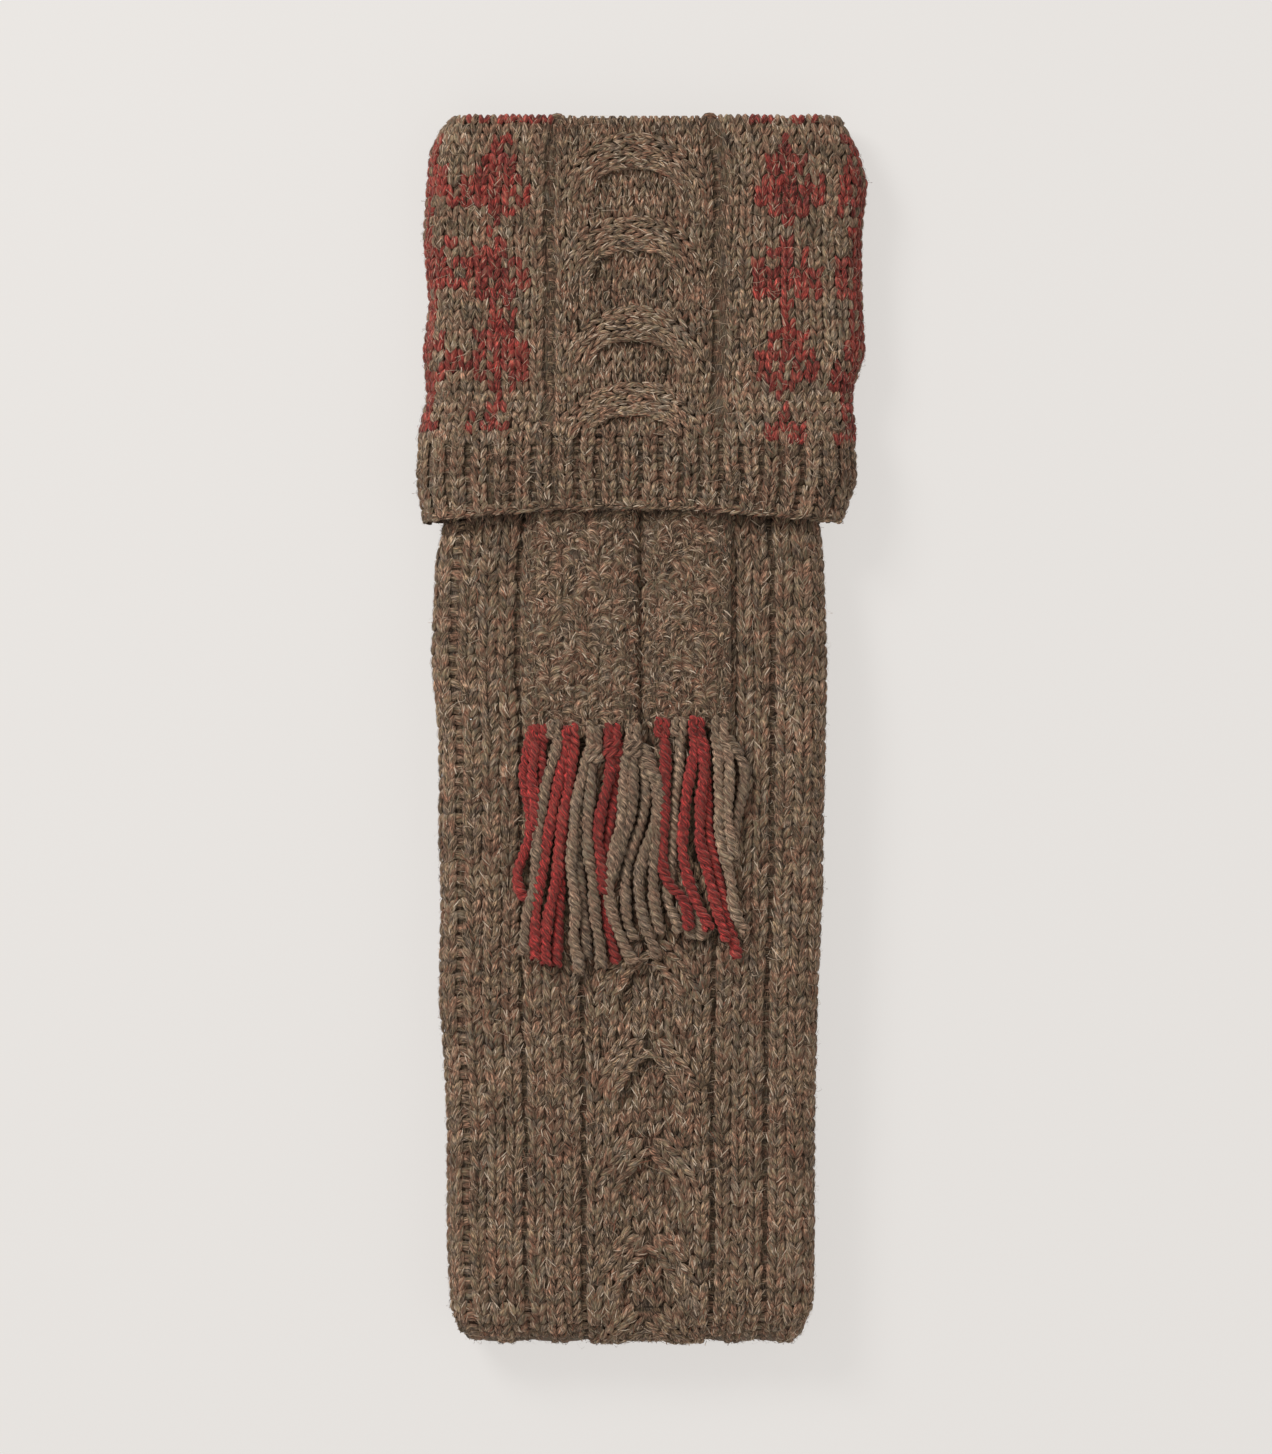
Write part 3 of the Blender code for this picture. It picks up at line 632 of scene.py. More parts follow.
def arch_path(reach, drop, tail, tight):
    """Left strand of a cable arch: from the apex out to the border, then down."""
    t = np.linspace(0, 1, 60)
    x = -reach * np.sin(t * math.pi / 2) ** tight      # flatter than a circle on top
    y = drop * (1 - np.cos(t * math.pi / 2))
    down = np.linspace(0, tail, 12)[1:]
    return np.concatenate([x, np.full(len(down), -reach)]), np.concatenate([y, drop + down])


def slant_path(start, reach, drop, tail):
    """Left strand of a steeper arch: it leaves the middle at a slant and eases upright."""
    y = np.linspace(0, drop, 50)
    x = -(start + (reach - start) * np.sin(y / drop * math.pi / 2))
    down = np.linspace(0, tail, 12)[1:]
    return np.concatenate([x, np.full(len(down), -reach)]), np.concatenate([y, drop + down])


def cable(tube, place_s, to_p, centre, half, apexes, path, band, count, row_px, top, bottom,
          yarns, hairs, tall, rises, hair):
    """A horseshoe cable: upright wales all over the panel, and raised arches over them."""
    x_path, y_path = path
    run = np.concatenate([[0], np.cumsum(np.hypot(np.diff(x_path), np.diff(y_path)))])
    at = np.arange(row_px * 0.3, run[-1], row_px * 0.97)
    x_at, y_at = np.interp(at, run, x_path), np.interp(at, run, y_path)
    dx = np.interp(at + 2, run, x_path) - np.interp(at - 2, run, x_path)
    dy = np.interp(at + 2, run, y_path) - np.interp(at - 2, run, y_path)
    length = np.hypot(dx, dy)
    dx, dy = dx / length, dy / length
    share = at / run[-1]
    lift = smooth(share / 0.10 + 0.55) * (1 - smooth((share - 0.62) / 0.38))
    wale = band / count
    for apex, rise in zip(apexes, rises):
        for side in (1, -1):        # 1 is the left strand as drawn, -1 its mirror
            for number in range(count):
                offset = (number + 0.5 - count / 2) * wale
                x = side * (x_at + offset * dy)
                y = apex + y_at - offset * dx
                crown = 0.00030 * (1 - (2 * offset / band) ** 2)
                keep = (y > top) & (y < bottom) & (side * x < 1.0)
                p = to_p(y[keep])
                # the arches' stitches draw tones from a lighter range than the upright wales:
                # painted light on the raised strands
                knit(tube, place_s(centre + x[keep], p), p, wale * PIXEL * 1.06,
                     row_px * PIXEL, tall, yarns, angle=side * np.arctan2(dx, dy)[keep],
                     tone=RNG.uniform(0.30, 1.0, keep.sum()),
                     sink=(0.00025 - (rise + crown) * lift)[keep], hairs=hairs, hair=hair)
    # the upright wales, which end where an arch covers them
    columns = int(round(2 * half / wale))
    x_wales = (np.arange(columns) + 0.5) * 2 * half / columns - half
    y_rows = np.arange(top + row_px / 2, bottom, row_px)
    x, y = (array.ravel() for array in np.meshgrid(x_wales, y_rows))
    sink = np.full(len(x), 0.00035)
    shown = np.ones(len(x), bool)
    for apex, rise in zip(apexes, rises):
        gap = np.hypot(-np.abs(x)[:, None] - x_at[None, :], y[:, None] - apex - y_at[None, :])
        near = gap.argmin(axis=1)
        close = gap[np.arange(len(x)), near]
        strong = lift[near] > 0.45
        shown &= ~((close < band * 0.40) & strong)
        side_of = (-np.abs(x) - x_at[near]) * dy[near] - (y - apex - y_at[near]) * dx[near]
        inner = (side_of > 0) & (close < band * 0.5 + wale * 0.62)
        sink = np.where(inner & strong, sink + 0.00095 * rise / rises[0], sink)
    p = to_p(y[shown])
    # the upright wales draw tones from a darker range than the arches: painted shade under the
    # arches
    knit(tube, place_s(centre + x[shown], p), p, 2 * half / columns * PIXEL, row_px * PIXEL,
         tall, yarns, tone=RNG.uniform(0.12, 1.0, shown.sum()), sink=sink[shown],
         hairs=hairs, hair=hair)


def build_leg():
    tube = LEG_TUBE
    front, rest, hairs = Yarns(), Yarns(), Yarns()
    end = tube.p_of_y(FOLD_Y) + math.pi * (FOLD_RADIUS + FOLD_HALF)
    first = tube.p_of_y(HEM_Y + 0.004)
    rows = np.arange(first, end, LEG_ROW)
    row_tone = RNG.random(len(rows))      # the marl changes from row to row, as the yarn does
    for kind_of in (K3, P1):
        table = wales(LEG_CHART, kind_of)
        s_px, p = np.meshgrid(table[:, 0], rows)
        width, _ = np.meshgrid(table[:, 1], rows)
        rib, _ = np.meshgrid(table[:, 2], rows)
        tones = np.clip(row_tone[:, None] * 0.35 + RNG.random(s_px.shape) * 0.70, 0, 1)
        s_px, p, width, tones, rib = (a.ravel() for a in (s_px, p, width, tones, rib))
        fold = smooth((p - tube.p_of_y(FOLD_Y) + 0.002) / 0.006)
        tones = np.clip(tones - 0.40 * (p < first + 0.0045), 0, 1)   # in the cuff's shade
        s = leg_scale(s_px, p)
        pitch = width * np.abs(leg_scale(s_px + 0.5, p) - leg_scale(s_px - 0.5, p))
        seen = (s_px > -235) & (s_px < 215)
        for mask, target, steps, sides in ((seen, front, 5, 5), (~seen, rest, 3, 4)):
            loose = hairs if target is front else None
            if kind_of == K3:
                # a rib's sides curl down, and more so where it ends at the fold
                curl = 0.00034 + 0.00045 * fold[mask]
                sink = np.where(rib[mask] != 1, curl, 0.0)
                knit(tube, s[mask], p[mask], pitch[mask], LEG_ROW, 0.00112, target,
                     steps=steps, sides=sides, tone=tones[mask], sink=sink, hairs=loose,
                     hair=5)
            else:
                # the grooves lie open at the far left, and are drawn shut elsewhere
                drawn = np.where(s_px[mask] < -150, 0.0, 1.0)
                sink = (0.0010 + 0.0006 * drawn) * (1 - 0.45 * fold[mask])
                # purl tones are painted darker, far more in the drawn-shut grooves than in the
                # open ones: painted shade in the grooves
                purl(tube, s[mask], p[mask], pitch[mask] * (0.85 - 0.15 * drawn), LEG_ROW,
                     0.0007, target, steps=4, sides=sides - 1,
                     tone=tones[mask] * (0.9 - 0.7 * drawn), sink=sink,
                     hairs=loose, hair=1)
    # py is a pixel row of the photo on the front; below the fold it runs on round it
    flat_end = tube.p_of_y(FOLD_Y)

    def to_p(py):
        return np.where(px_y(py) > FOLD_Y, tube.p_of_y(px_y(py)), flat_end + FOLD_Y - px_y(py))

    cable(tube, leg_scale, to_p, LEG_CENTRE, LEG_CABLE_HALF,
          [750, 848, 946, 1043, 1142, 1239, 1319], slant_path(11.0, 45.0, 56.0, 28.0), 32.0,
          2, LEG_ROW_PX, 500, 1432, front, hairs, 0.00115, [0.00108] * 6 + [0.00030], 5)
    make_piece("leg_front_knit", front, [MARL],
               ["leg_top", "calf", "leg", "ankle"])
    make_piece("leg_back_knit", rest, [MARL])
    make_piece("leg_fibres", hairs, [MARL_HAIR])


def build_foot():
    tube = LEG_TUBE
    yarns = Yarns()
    start = tube.p_of_y(FOLD_Y) + math.pi * (FOLD_RADIUS + FOLD_HALF) + LEG_ROW * 0.3
    rows = np.arange(start, tube.p[-1] - 0.004, LEG_ROW)
    wale = 15.2         # a pitch that fits 52 wales round the leg, in the chart's pixels
    s_px, p = np.meshgrid(np.arange(-26, 26) * wale + wale / 2, rows)
    s_px, p = s_px.ravel(), p.ravel()
    s = leg_scale(s_px, p)
    pitch = wale * (leg_scale(s_px + 0.5, p) - leg_scale(s_px - 0.5, p))
    knit(tube, s, p, np.abs(pitch), LEG_ROW, 0.0010, yarns, steps=3, sides=4)
    make_piece("foot_knit", yarns, [MARL], ["heel", "foot", "toe"])


# madder lozenges of the cuff: half width at heights down from the stem's start, in pixels
LOZENGE = np.array([(0, 9), (20, 9), (28, 18), (40, 25), (48, 34), (70, 34), (78, 22), (84, 8)])
LOZENGE_STARTS = {"left": (130, 214, 303, 390), "right": (132, 221, 308, 396)}
LOZENGE_COLUMNS = 79.0
CUFF_ROW_PX = 10.33
CUFF_ROW = CUFF_ROW_PX * PIXEL


def madder_share(x, y, side):
    """How red the cuff is at a place: 0 outside the lozenges, up to 1 inside them."""
    centre = 499.0 if side == "left" else 786.0
    across = np.abs((x - centre + LOZENGE_COLUMNS / 2) % LOZENGE_COLUMNS - LOZENGE_COLUMNS / 2)
    starts = np.array(LOZENGE_STARTS[side])
    number = np.clip(np.searchsorted(starts, y, side="right") - 1, 0, len(starts) - 1)
    down = np.where(y < starts[0], -1.0, y - starts[number])
    half = np.where(down < 0, 0.0, np.interp(down, LOZENGE[:, 0], LOZENGE[:, 1]))
    half = np.where(y > starts[-1] + 44, 0.0, half)
    return np.clip((half - across) / 4.0 + 0.5, 0, 1) * np.where(half > 0, 1, 0)


def build_cuff():
    tube = CUFF_TUBE
    yarns, hairs = Yarns(), Yarns()
    reference = tube.p_of_y(px_y(280))
    around = tube.reach(reference, 1) + tube.reach(reference, -1)
    rows_py = np.arange(128 - CUFF_ROW_PX, 446, CUFF_ROW_PX)
    rows = np.array([tube.p_of_y(px_y(py)) for py in rows_py])
    keep = rows < tube.p_of_y(WELT_TOP_Y) + 0.0004
    rows, rows_py = rows[keep], rows_py[keep]

    def scale(s_px, p):
        return tube.spread(s_px, p, reference, around)

    girth = 2 * around / PIXEL
    row_tone = RNG.random(len(rows))
    # colour-work round the rest of the cuff
    first, last_s = 108.0, -86.0 + girth
    count = int(round((last_s - first) / 14.0))
    wale = (last_s - first) / count
    for s_px in first + wale * (np.arange(count) + 0.5):
        seen = s_px < 300 or s_px > girth - 300
        side = "right" if s_px < girth / 2 else "left"
        s = scale(np.full(len(rows), s_px), rows)
        # places on the photo: the sides of the tube turn away, so s runs on past the edge
        x = AXIS_PX + (s_px if side == "right" else s_px - girth)
        share = madder_share(np.full(len(rows), x), rows_py, side)
        edge = (rows_py < 124) & (((x > 440) & (x < 552)) | ((x > 750) & (x < 846)))
        dot = (np.abs(x - 455) < 7) & (np.abs(rows_py - 243) < 5.2)
        chance = np.maximum(share * 0.86, np.where(edge, 0.62, np.where(dot, 0.9, 0.0)))
        # single lobes change colour, so that the marl shows through the madder
        reds = RNG.random((len(rows), 2)) < chance[:, None]
        tones = np.clip(row_tone * 0.3 + RNG.random(len(rows)) * 0.7 + 0.12, 0, 1)
        knit(tube, s, rows, wale * PIXEL, CUFF_ROW, 0.00110, yarns,
             steps=5 if seen else 3, sides=5 if seen else 4, tone=tones,
             kind=reds.astype(int), hairs=hairs if seen else None, hair=3)
    # K1 beside the right trough, then the two purl troughs
    s = scale(np.full(len(rows), 102.0), rows)
    knit(tube, s, rows, 12 * PIXEL, CUFF_ROW, 0.00115, yarns, hairs=hairs, hair=3)
    # the trough purls get tones of at most half: painted shade in the troughs
    for centre, width in ((88.0, 12.0), (-81.0, 12.0)):
        s = scale(np.full(len(rows), centre), rows)
        purl(tube, s, rows, width * PIXEL, CUFF_ROW, 0.0008, yarns, sink=0.0014, hairs=hairs,
             hair=1, tone=RNG.random(len(rows)) * 0.5)
    cable(tube, scale, lambda py: tube.p_of_y(px_y(py)), 3.5, 78.0,
          [150, 233, 323, 399], arch_path(61.0, 52.0, 22.0, 0.82), 34.5, 3, CUFF_ROW_PX, 114,
          437, yarns, hairs, 0.00112, [0.00075] * 4, 4)
    make_piece("cuff_knit", yarns, [MARL, MADDER], ["cuff"])
    make_piece("cuff_fibres", hairs, [MARL_HAIR, MADDER_HAIR])

    welt, hairs = Yarns(), Yarns()
    count = int(round(girth / 20.4))
    pitch = girth / count
    welt_p = tube.p_of_y(WELT_TOP_Y) - 0.0010
    low_p = tube.p_of_y(HEM_Y + 0.0012)
    welt_rows = np.linspace(welt_p, low_p, 9)

    def hem_lift(s_px):
        share = np.clip(np.abs(scale(s_px, reference)) / 0.056, 0, 1)
        return HEM_ARCH * (1 - share ** 2)

    for number in range(count):
        s_px = -girth / 2 + pitch * (number + 0.5)
        seen = abs(s_px) < 270
        lift = hem_lift(np.array([s_px]))[0]
        p = welt_p + (welt_rows - welt_p) * (low_p - lift - welt_p) / (low_p - welt_p)
        row = abs(p[1] - p[0])
        s = scale(np.full(len(p), s_px), p)
        depth = 0.0006 * smooth(1 - (p - welt_p) / 0.004)   # the ribs start softly
        knit(tube, s, p, 14.5 * PIXEL, row, 0.0012, welt, steps=5 if seen else 3,
             sides=5 if seen else 4, sink=depth * 0.4, hairs=hairs if seen else None, hair=4)
        s = scale(np.full(len(p), s_px + pitch / 2), p)
        # the purls between the ribs get tones of at most 0.6: painted shade between the ribs
        purl(tube, s, p, 6.5 * PIXEL, row, 0.0007, welt, steps=4 if seen else 3,
             sink=0.0011 - depth, tone=RNG.random(len(p)) * 0.6)
    # the cast-off edge: a chain of stitches along the hem
    chain_px = np.arange(-265, 262, 9.4)
    lift = hem_lift(chain_px)
    knit(tube, scale(chain_px, low_p - lift), low_p - lift + 0.0008, 9.5 * PIXEL, 9.6 * PIXEL,
         0.0012, welt, angle=math.pi / 2, sink=0.0003, hairs=hairs, hair=4)
    make_piece("welt_knit", welt, [MARL], ["cuff_welt"])
    make_piece("welt_fibres", hairs, [MARL_HAIR])


class Sheet:
    """A level strip on the leg's front, with the Tube's way of placing points."""

    def __init__(self, above):
        self.above = above

    def place(self, s, p, out):
        s, p, out = np.broadcast_arrays(np.asarray(s, float), p, out)
        z = leg_height(-p) + LEG_HALF + CLEARANCE + self.above + out
        point = np.stack([s, -p, z], -1)
        normal = np.zeros_like(point)
        normal[..., 2] = 1.0
        return point, normal


def build_garter():
    sheet = Sheet(GARTER_THICKNESS)
    for name, count in (("garter_tab_left", 9), ("garter_tab_right", 7)):
        low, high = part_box(name)
        yarns, hairs = Yarns(), Yarns()
        right = min(high.x, px_x(730))
        wale = (right - low.x) / count
        row = 8.6 * PIXEL
        y = np.arange(HEM_Y + 0.003, low.y - row * 0.2, -row)
        for column in range(count):
            x = np.full(len(y), low.x + wale * (column + 0.5))
            # blocks of knit and purl, three rows by two wales
            knits = (((np.arange(len(y)) + column % 2) // 3) + column // 2) % 2 == 0
            edge = 0.0007 * (abs(2 * (column + 0.5) / count - 1) > 0.85)
            # knit blocks are painted 0.20 darker than purl blocks: painted shade of the basket
            # texture
            tone = RNG.uniform(0.45, 1.0, len(y)) - 0.20 * knits
            slope = RNG.choice((-1, 1), len(y)) * RNG.uniform(0.2, 0.8, len(y))
            knit(sheet, x[knits], -y[knits], wale, row, 0.00100, yarns, tone=tone[knits],
                 angle=slope[knits], sink=edge + 0.0001, steps=4, hairs=hairs, hair=6)
            purls = ~knits
            purl(sheet, x[purls], -y[purls], wale * 0.85, row * 1.1, 0.00100, yarns,
                 tone=tone[purls], sink=edge, hairs=hairs, hair=3, lean=0.34)
        # loose fibres at all angles, which felt the strip's face
        number = 1500
        s = RNG.uniform(low.x + 0.0004, right - 0.0004, number)
        p = RNG.uniform(-HEM_Y - 0.003, -low.y, number)
        heading = RNG.normal(0, 0.9, number)[:, None]
        run = np.array([[-1.0, 0.0, 1.0]]) * RNG.uniform(0.0006, 0.0013, number)[:, None]
        bend = RNG.normal(0, 0.0003, number)[:, None] * np.array([[0.0, 1.0, 0.0]])
        out = -0.0002 + RNG.gamma(2.0, 0.00007, number)[:, None] + np.zeros((1, 3))
        point, normal = sheet.place(s[:, None] + run * np.sin(heading) + bend,
                                    p[:, None] + run * np.cos(heading), out)
        width = np.array([[0.5, 1.0, 0.5]]) * RNG.uniform(0.00003, 0.00006, number)[:, None]
        hairs.add(point, normal, width, width * 0.3, sides=2, span=1.0,
                  tone=RNG.uniform(0.10, 0.95, number))
        short = name.replace("garter_", "")
        piece = make_piece(short + "_knit", yarns, [MARL], [name], depth=0.0007)
        for vert in piece.data.vertices:        # the ground ends where the stitches do
            vert.co.x = min(vert.co.x, right + 0.0003)
        make_piece(short + "_fibres", hairs, [MARL_HAIR])
    band = Yarns()
    y = np.linspace(GARTER_LOW_Y + 0.001, GARTER_HIGH_Y - 0.001, 6)
    band_y = np.linspace(0.1, 0.05, 40)
    tube = tube_over_leg(band_y, CLEARANCE + GARTER_THICKNESS)
    s, p = np.meshgrid(np.linspace(-0.108, 0.108, 60), tube.p_of_y(y))
    knit(tube, s.ravel(), p.ravel(), 0.0036, 0.0029, 0.0009, band, steps=3, sides=4)
    make_piece("garter_band_knit", band, [MARL], ["garter_band"],
               depth=0.0006)


# Fringe
# strands as pixels of the photo (x, y), top to tip, with how high each lies: 0 under, 1 over
CROP_LEFT, CROP_TOP, CROP_ZOOM = 500, 700, 5.407


def crop(*numbers):
    """Points read off an enlarged crop of the photo, x and y in turn, as photo pixels."""
    return [(CROP_LEFT + x / CROP_ZOOM, CROP_TOP + y / CROP_ZOOM)
            for x, y in zip(numbers[::2], numbers[1::2])]


FRINGE = {
    "tassel_1_red": ((218, 160), [
        (0, crop(180, 150, 150, 280, 130, 400, 150, 520, 165, 640, 160, 760, 120, 860, 95, 940,
                 110, 1030, 150, 1070, 185, 1050)),
        (1, crop(215, 150, 185, 300, 175, 420, 190, 560, 185, 700)),
        (0, crop(245, 150, 225, 280, 235, 390, 215, 520))]),
    "tassel_2_brown": ((315, 150), [
        (1, crop(315, 170, 310, 240, 280, 350, 245, 480, 225, 620, 205, 760, 195, 900, 185, 1030,
                 150, 1150, 135, 1270, 130, 1370))]),
    "tassel_3_red": ((385, 205), [
        (1, crop(370, 210, 340, 330, 310, 480, 280, 620, 255, 760, 240, 880, 210, 1020, 195, 1150,
                 190, 1290, 195, 1400)),
        (1, crop(410, 220, 385, 350, 365, 500, 340, 640, 320, 800, 310, 950, 285, 1060, 260, 1180,
                 250, 1300, 250, 1430)),
        (0, crop(395, 230, 385, 400, 365, 560, 345, 720, 335, 880, 325, 1030, 320, 1180, 312,
                 1300, 305, 1440))]),
    "tassel_4_brown": ((510, 260), [
        (1, crop(480, 280, 460, 350, 430, 470, 405, 600, 395, 760, 385, 900, 400, 1020, 410, 1150,
                 400, 1290, 425, 1400, 430, 1480)),
        (1, crop(515, 280, 500, 360, 490, 480, 480, 600, 475, 720, 480, 840, 500, 950, 510, 1080,
                 520, 1200, 540, 1320, 550, 1450)),
        (0, crop(470, 330, 440, 500, 430, 650, 420, 800, 430, 930, 445, 1060, 460, 1200, 470,
                 1330, 480, 1400))]),
    "tassel_5_red": ((617, 230), [
        (1, crop(605, 250, 600, 330, 590, 430, 560, 540, 540, 640, 530, 740, 540, 820, 550, 900,
                 560, 1050)),
        (0, crop(630, 250, 630, 340, 625, 480, 610, 600, 590, 720, 570, 830, 560, 950, 570, 1080,
                 590, 1230, 610, 1330, 630, 1420))]),
    "tassel_6_brown": ((720, 235), [
        (1, crop(690, 240, 680, 310, 670, 440, 665, 560, 650, 680, 620, 800, 600, 920, 590, 1040,
                 610, 1160, 650, 1270, 700, 1380, 740, 1420)),
        (1, crop(715, 240, 720, 310, 720, 430, 715, 560, 700, 660, 665, 740, 640, 850, 600, 960)),
        (0, crop(740, 240, 760, 310, 780, 400, 790, 520, 770, 640, 740, 740, 700, 850, 680, 960,
                 680, 1080, 690, 1200, 730, 1300)),
        (1, crop(760, 250, 790, 320, 830, 420, 850, 530, 845, 650, 800, 760, 770, 860, 750, 980,
                 760, 1100, 790, 1230, 830, 1330, 850, 1390)),
        (1, crop(775, 250, 820, 340, 860, 450, 865, 560, 855, 680, 840, 780, 830, 900, 830, 1050,
                 850, 1180, 870, 1260))]),
    "tassel_7_red": ((878, 165), [
        (1, crop(880, 170, 890, 240, 895, 330, 895, 440, 890, 560, 885, 680, 880, 790, 880, 900,
                 920, 1000, 980, 1060, 1010, 1130, 1020, 1240))]),
    "tassel_8_brown": ((975, 165), [
        (0, crop(975, 180, 970, 300, 965, 420, 945, 560, 940, 700, 930, 850, 915, 950, 905, 1030,
                 910, 1100, 950, 1180, 970, 1250))]),
    "tassel_9_red": ((1065, 170), [
        (1, crop(1050, 190, 1050, 260, 1030, 380, 1010, 500, 995, 640, 985, 780, 1000, 900, 1030,
                 1010, 1070, 1110, 1110, 1180, 1130, 1240)),
        (1, crop(1080, 190, 1095, 260, 1100, 400, 1085, 520, 1080, 640, 1080, 760, 1110, 880,
                 1140, 1000, 1170, 1120, 1200, 1220, 1230, 1300)),
        (0, crop(1100, 230, 1115, 400, 1120, 560, 1130, 700, 1150, 830, 1180, 960, 1210, 1080,
                 1230, 1190, 1260, 1290, 1280, 1390))]),
    "tassel_10_brown": ((1185, 195), [
        (1, crop(1165, 200, 1180, 280, 1180, 430, 1190, 560, 1180, 680, 1200, 790, 1230, 900,
                 1250, 1000, 1260, 1110, 1290, 1190, 1330, 1250)),
        (1, crop(1200, 200, 1230, 280, 1240, 400, 1230, 520, 1230, 640, 1250, 760, 1260, 860)),
        (0, crop(1225, 200, 1280, 280, 1320, 370, 1315, 480, 1290, 590, 1270, 690, 1260, 790,
                 1270, 900)),
        (0, crop(1060, 1100, 1075, 1190, 1090, 1290)),
        (0, crop(1000, 1120, 1020, 1200, 1035, 1290))]),
}
STRAND_RADIUS = 0.00155
PLIES = 2
PLY_PITCH = 0.0046          # length in which the plies turn once
WRAPPED = ("tassel_4_brown", "tassel_5_red", "tassel_6_brown")


def smooth_path(points, step):
    """Catmull-Rom curve through points, resampled at an even step."""
    points = np.array(points, float)
    ends = np.vstack([2 * points[0] - points[1], points, 2 * points[-1] - points[-2]])
    fine = []
    for a, b, c, d in zip(ends, ends[1:], ends[2:], ends[3:]):
        t = np.linspace(0, 1, 24, endpoint=False)[:, None]
        fine.append(0.5 * (2 * b + (c - a) * t + (2 * a - 5 * b + 4 * c - d) * t ** 2
                           + (3 * b - a - 3 * c + d) * t ** 3))
    fine = np.vstack(fine + [points[-1:]])
    run = np.concatenate([[0], np.cumsum(np.linalg.norm(np.diff(fine, axis=0), axis=1))])
    count = max(int(run[-1] / step), 4)
    at = np.linspace(0, run[-1], count + 1)
    return np.stack([np.interp(at, run, fine[:, axis]) for axis in range(3)], -1), at


def add_strand(builder, path, radius=STRAND_RADIUS):
    """A plied strand of yarn along a path of points."""
    line, run = smooth_path(path, 0.00055)
    along = np.gradient(line, axis=0)
    along /= np.linalg.norm(along, axis=1, keepdims=True)
    normal = np.tile([0.0, 0.0, 1.0], (len(line), 1))
    across = np.cross(along, normal)
    across /= np.linalg.norm(across, axis=1, keepdims=True)
    up = np.cross(across, along)
    phase = RNG.random() * 6.28
    wobble = 1 + 0.10 * np.sin(run * 420 + phase) + 0.06 * np.sin(run * 1130 + phase * 2)
    taper = np.clip((run[-1] - run) / 0.0007, 0.3, 1) ** 0.5      # cut off blunt
    splay = 1 + 0.35 * smooth((run - run[-1] + 0.0035) / 0.0035)
    tone = RNG.uniform(0.30, 0.90)
    for ply in range(PLIES):
        angle = phase + 2 * math.pi * (run / PLY_PITCH + ply / PLIES)
        reach = radius * 0.56 * wobble * splay
        centre = (line + across * (np.cos(angle) * reach)[:, None]
                  + up * (np.sin(angle) * reach * 0.8)[:, None])
        thick = radius * 0.56 * wobble * taper
        builder.add(centre[None], up[None], thick[None], (thick * 0.9)[None], sides=6,
                    tone=np.array([tone]), closed=True)


def build_fringe():
    for name, (head, strands) in FRINGE.items():
        yarns = Yarns()
        low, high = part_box(name)
        side = "left" if int(name.split("_")[1]) < 7 else "right"
        tab_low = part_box("garter_tab_" + side)[0].y
        for over, path in strands:
            points = []
            for number, (px, py) in enumerate(path):
                y = px_y(py)
                bed = leg_height(y) + LEG_HALF + CLEARANCE
                share = min(number / 2, 1.0)
                rise = 0.0014 + 0.0017 * over * share
                points.append((px_x(px), y, float(bed + rise)))
            add_strand(yarns, points)
        # the knot: turns of the same yarn round the head
        [(head_x, head_y)] = crop(*head)
        head_x, head_y = px_x(head_x), px_y(head_y)
        width = max((high.x - low.x) * 0.30, 0.0042) if len(strands) > 1 else 0.0040
        head_x = min(max(head_x, low.x + 0.002), high.x - 0.002)
        turns = 2 if name in WRAPPED else 0
        for turn in range(turns):
            angle = np.linspace(0, 2 * math.pi, 17)
            y = head_y - turn * 0.0024 - 0.0006 * np.sin(angle * 0.5)
            bed = leg_height(y) + LEG_HALF + CLEARANCE
            loop = np.stack([head_x + np.cos(angle) * width * 0.5, y,
                             bed + 0.0019 + 0.0014 * np.sin(angle)], -1)
            add_strand(yarns, loop, radius=0.00135)
        # the loops that pass over the tab's edge
        loops = max(2, int(round(width / 0.0021)))
        for number in range(loops):
            x = head_x + (number - (loops - 1) / 2) * 0.0021
            bed = float(leg_height(head_y)) + LEG_HALF + CLEARANCE
            edge = max(head_y, tab_low) + RNG.uniform(-0.0004, 0.0004)
            add_strand(yarns, [(x, edge + 0.0013, bed + GARTER_THICKNESS - 0.0006),
                               (x, edge + 0.0006, bed + GARTER_THICKNESS + 0.0006),
                               (x + RNG.normal(0, 0.0002), edge - 0.0004,
                                bed + GARTER_THICKNESS + 0.0003),
                               (x, min(edge - 0.0030, head_y - 0.0018), bed + 0.0021)],
                       radius=0.00128)
        red = name.endswith("red")
        material = MADDER_YARN if red else MARL_YARN
        make_piece(name.replace("tassel_", "strands_"), yarns, [material], [name],
                   depth=0)


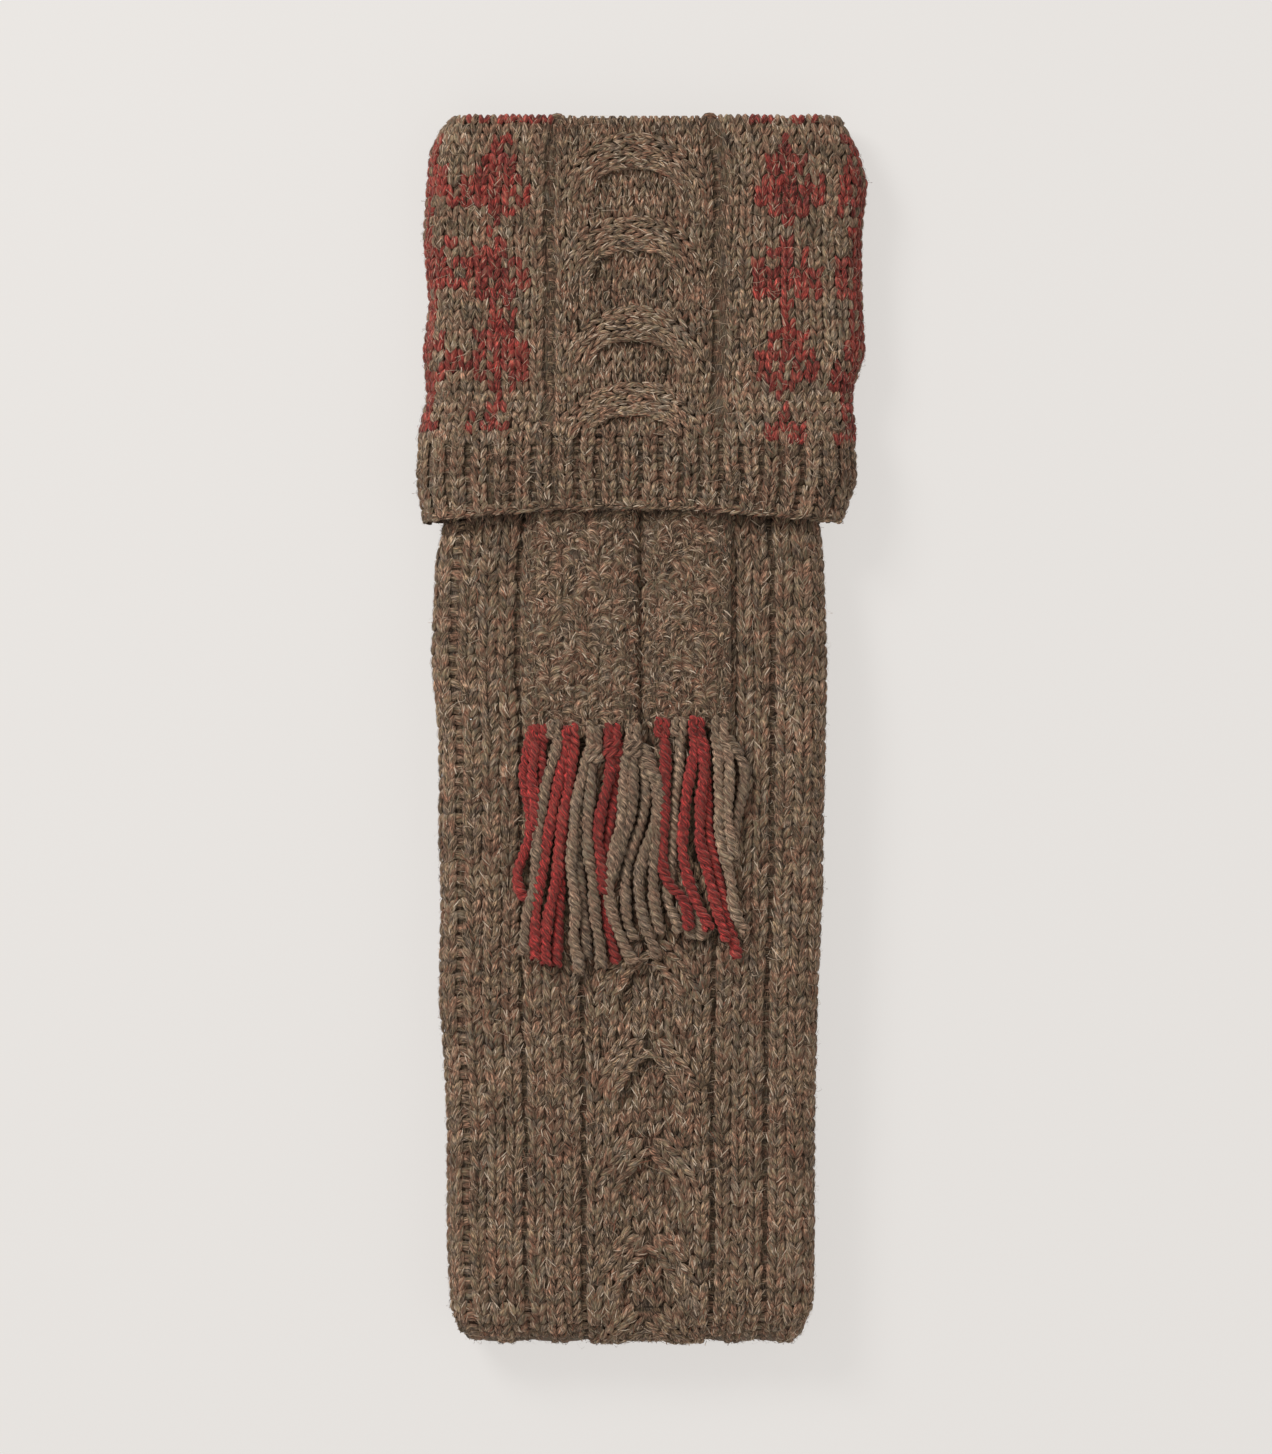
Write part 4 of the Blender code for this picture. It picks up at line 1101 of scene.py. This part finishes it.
# Fuzz
def build_fuzz():
    """Loose wool fibres that stand off the knitting."""
    yarns = Yarns()
    for tube, low_p, high_p, number in (
            (LEG_TUBE, LEG_TUBE.p_of_y(HEM_Y), LEG_TUBE.p_of_y(FOLD_Y) + 0.018, 5000),
            (CUFF_TUBE, CUFF_TUBE.p_of_y(TOP_Y - 0.001), CUFF_TUBE.p_of_y(HEM_Y + 0.003), 3600)):
        p = RNG.uniform(low_p, high_p, number)
        s = RNG.uniform(-0.075, 0.075, number)
        angle = RNG.uniform(0, 2 * math.pi, number)
        length = RNG.gamma(3.0, 0.0010, number)
        steps = np.linspace(0, 1, 4)[None, :]
        heading = angle[:, None] + RNG.normal(0, 1.2, number)[:, None] * steps
        ds = np.cumsum(np.cos(heading), axis=1) * (length / 4)[:, None]
        dp = np.cumsum(np.sin(heading), axis=1) * (length / 4)[:, None]
        lift = RNG.gamma(2.0, 0.00026, number)[:, None]
        out = -0.0002 + lift * np.sin(steps * math.pi * 0.75)
        point, normal = tube.place(s[:, None] + ds, p[:, None] + dp, out)
        width = np.full((number, 4), 0.000035)
        yarns.add(point, normal, width, width, sides=2, span=1.0,
                  tone=RNG.uniform(0.4, 1, number))
    make_piece("fuzz_marl", yarns, [MARL_HAIR])


# Scene
def build_scene():
    floor_mesh = bpy.data.meshes.new("floor")
    floor_mesh.from_pydata([(-3, -3, 0), (3, -3, 0), (3, 3, 0), (-3, 3, 0)], [], [(0, 1, 2, 3)])
    floor = bpy.data.objects.new("floor", floor_mesh)
    bpy.context.scene.collection.objects.link(floor)
    floor_mesh.materials.append(new_material("pale_paper", {
        "Base Color": (0.20, 0.195, 0.19, 1), "Emission Color": (0.81, 0.78, 0.75, 1),
        "Emission Strength": 0.77, "Roughness": 0.9, "Specular IOR Level": 0.1})[0])
    floor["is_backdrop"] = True

    world = bpy.data.worlds.new("studio")
    bpy.context.scene.world = world
    world.use_nodes = True
    set_inputs(world.node_tree, world.node_tree.nodes["Background"],
               {"Color": (1.0, 0.985, 0.97, 1), "Strength": 0.45})
    for name, place, size, power in (("key", (-0.95, 0.95, 1.15), 0.6, 18.5),
                                     ("fill", (0.9, -0.5, 1.2), 1.2, 2.0)):
        light = bpy.data.lights.new(name, "AREA")
        light.size = size
        light.energy = power
        lamp = bpy.data.objects.new(name, light)
        lamp.location = place
        bpy.context.scene.collection.objects.link(lamp)
        lamp.rotation_mode = "QUATERNION"
        lamp.rotation_quaternion = Vector(-np.array(place)).to_track_quat("-Z", "Y")

    camera = bpy.data.cameras.new("camera")
    camera.sensor_width = 36.0
    distance, plane = 1.55, 0.020
    camera.lens = camera.sensor_width * distance / (PHOTO_HEIGHT_PX * PIXEL)
    view = bpy.data.objects.new("camera", camera)
    view.location = (px_x(MIDDLE_PX), px_y(MIDDLE_PY), plane + distance)
    bpy.context.scene.collection.objects.link(view)
    bpy.context.scene.camera = view
    bpy.context.scene.view_settings.view_transform = "Standard"


build_leg()
build_foot()
build_cuff()
build_garter()
build_fringe()
build_fuzz()
build_scene()

total = 0
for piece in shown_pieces():
    if piece.type == "MESH":
        count = sum(len(face.vertices) - 2 for face in piece.data.polygons)
        total += count
        print("piece", piece.name, count)
print("triangles", total)
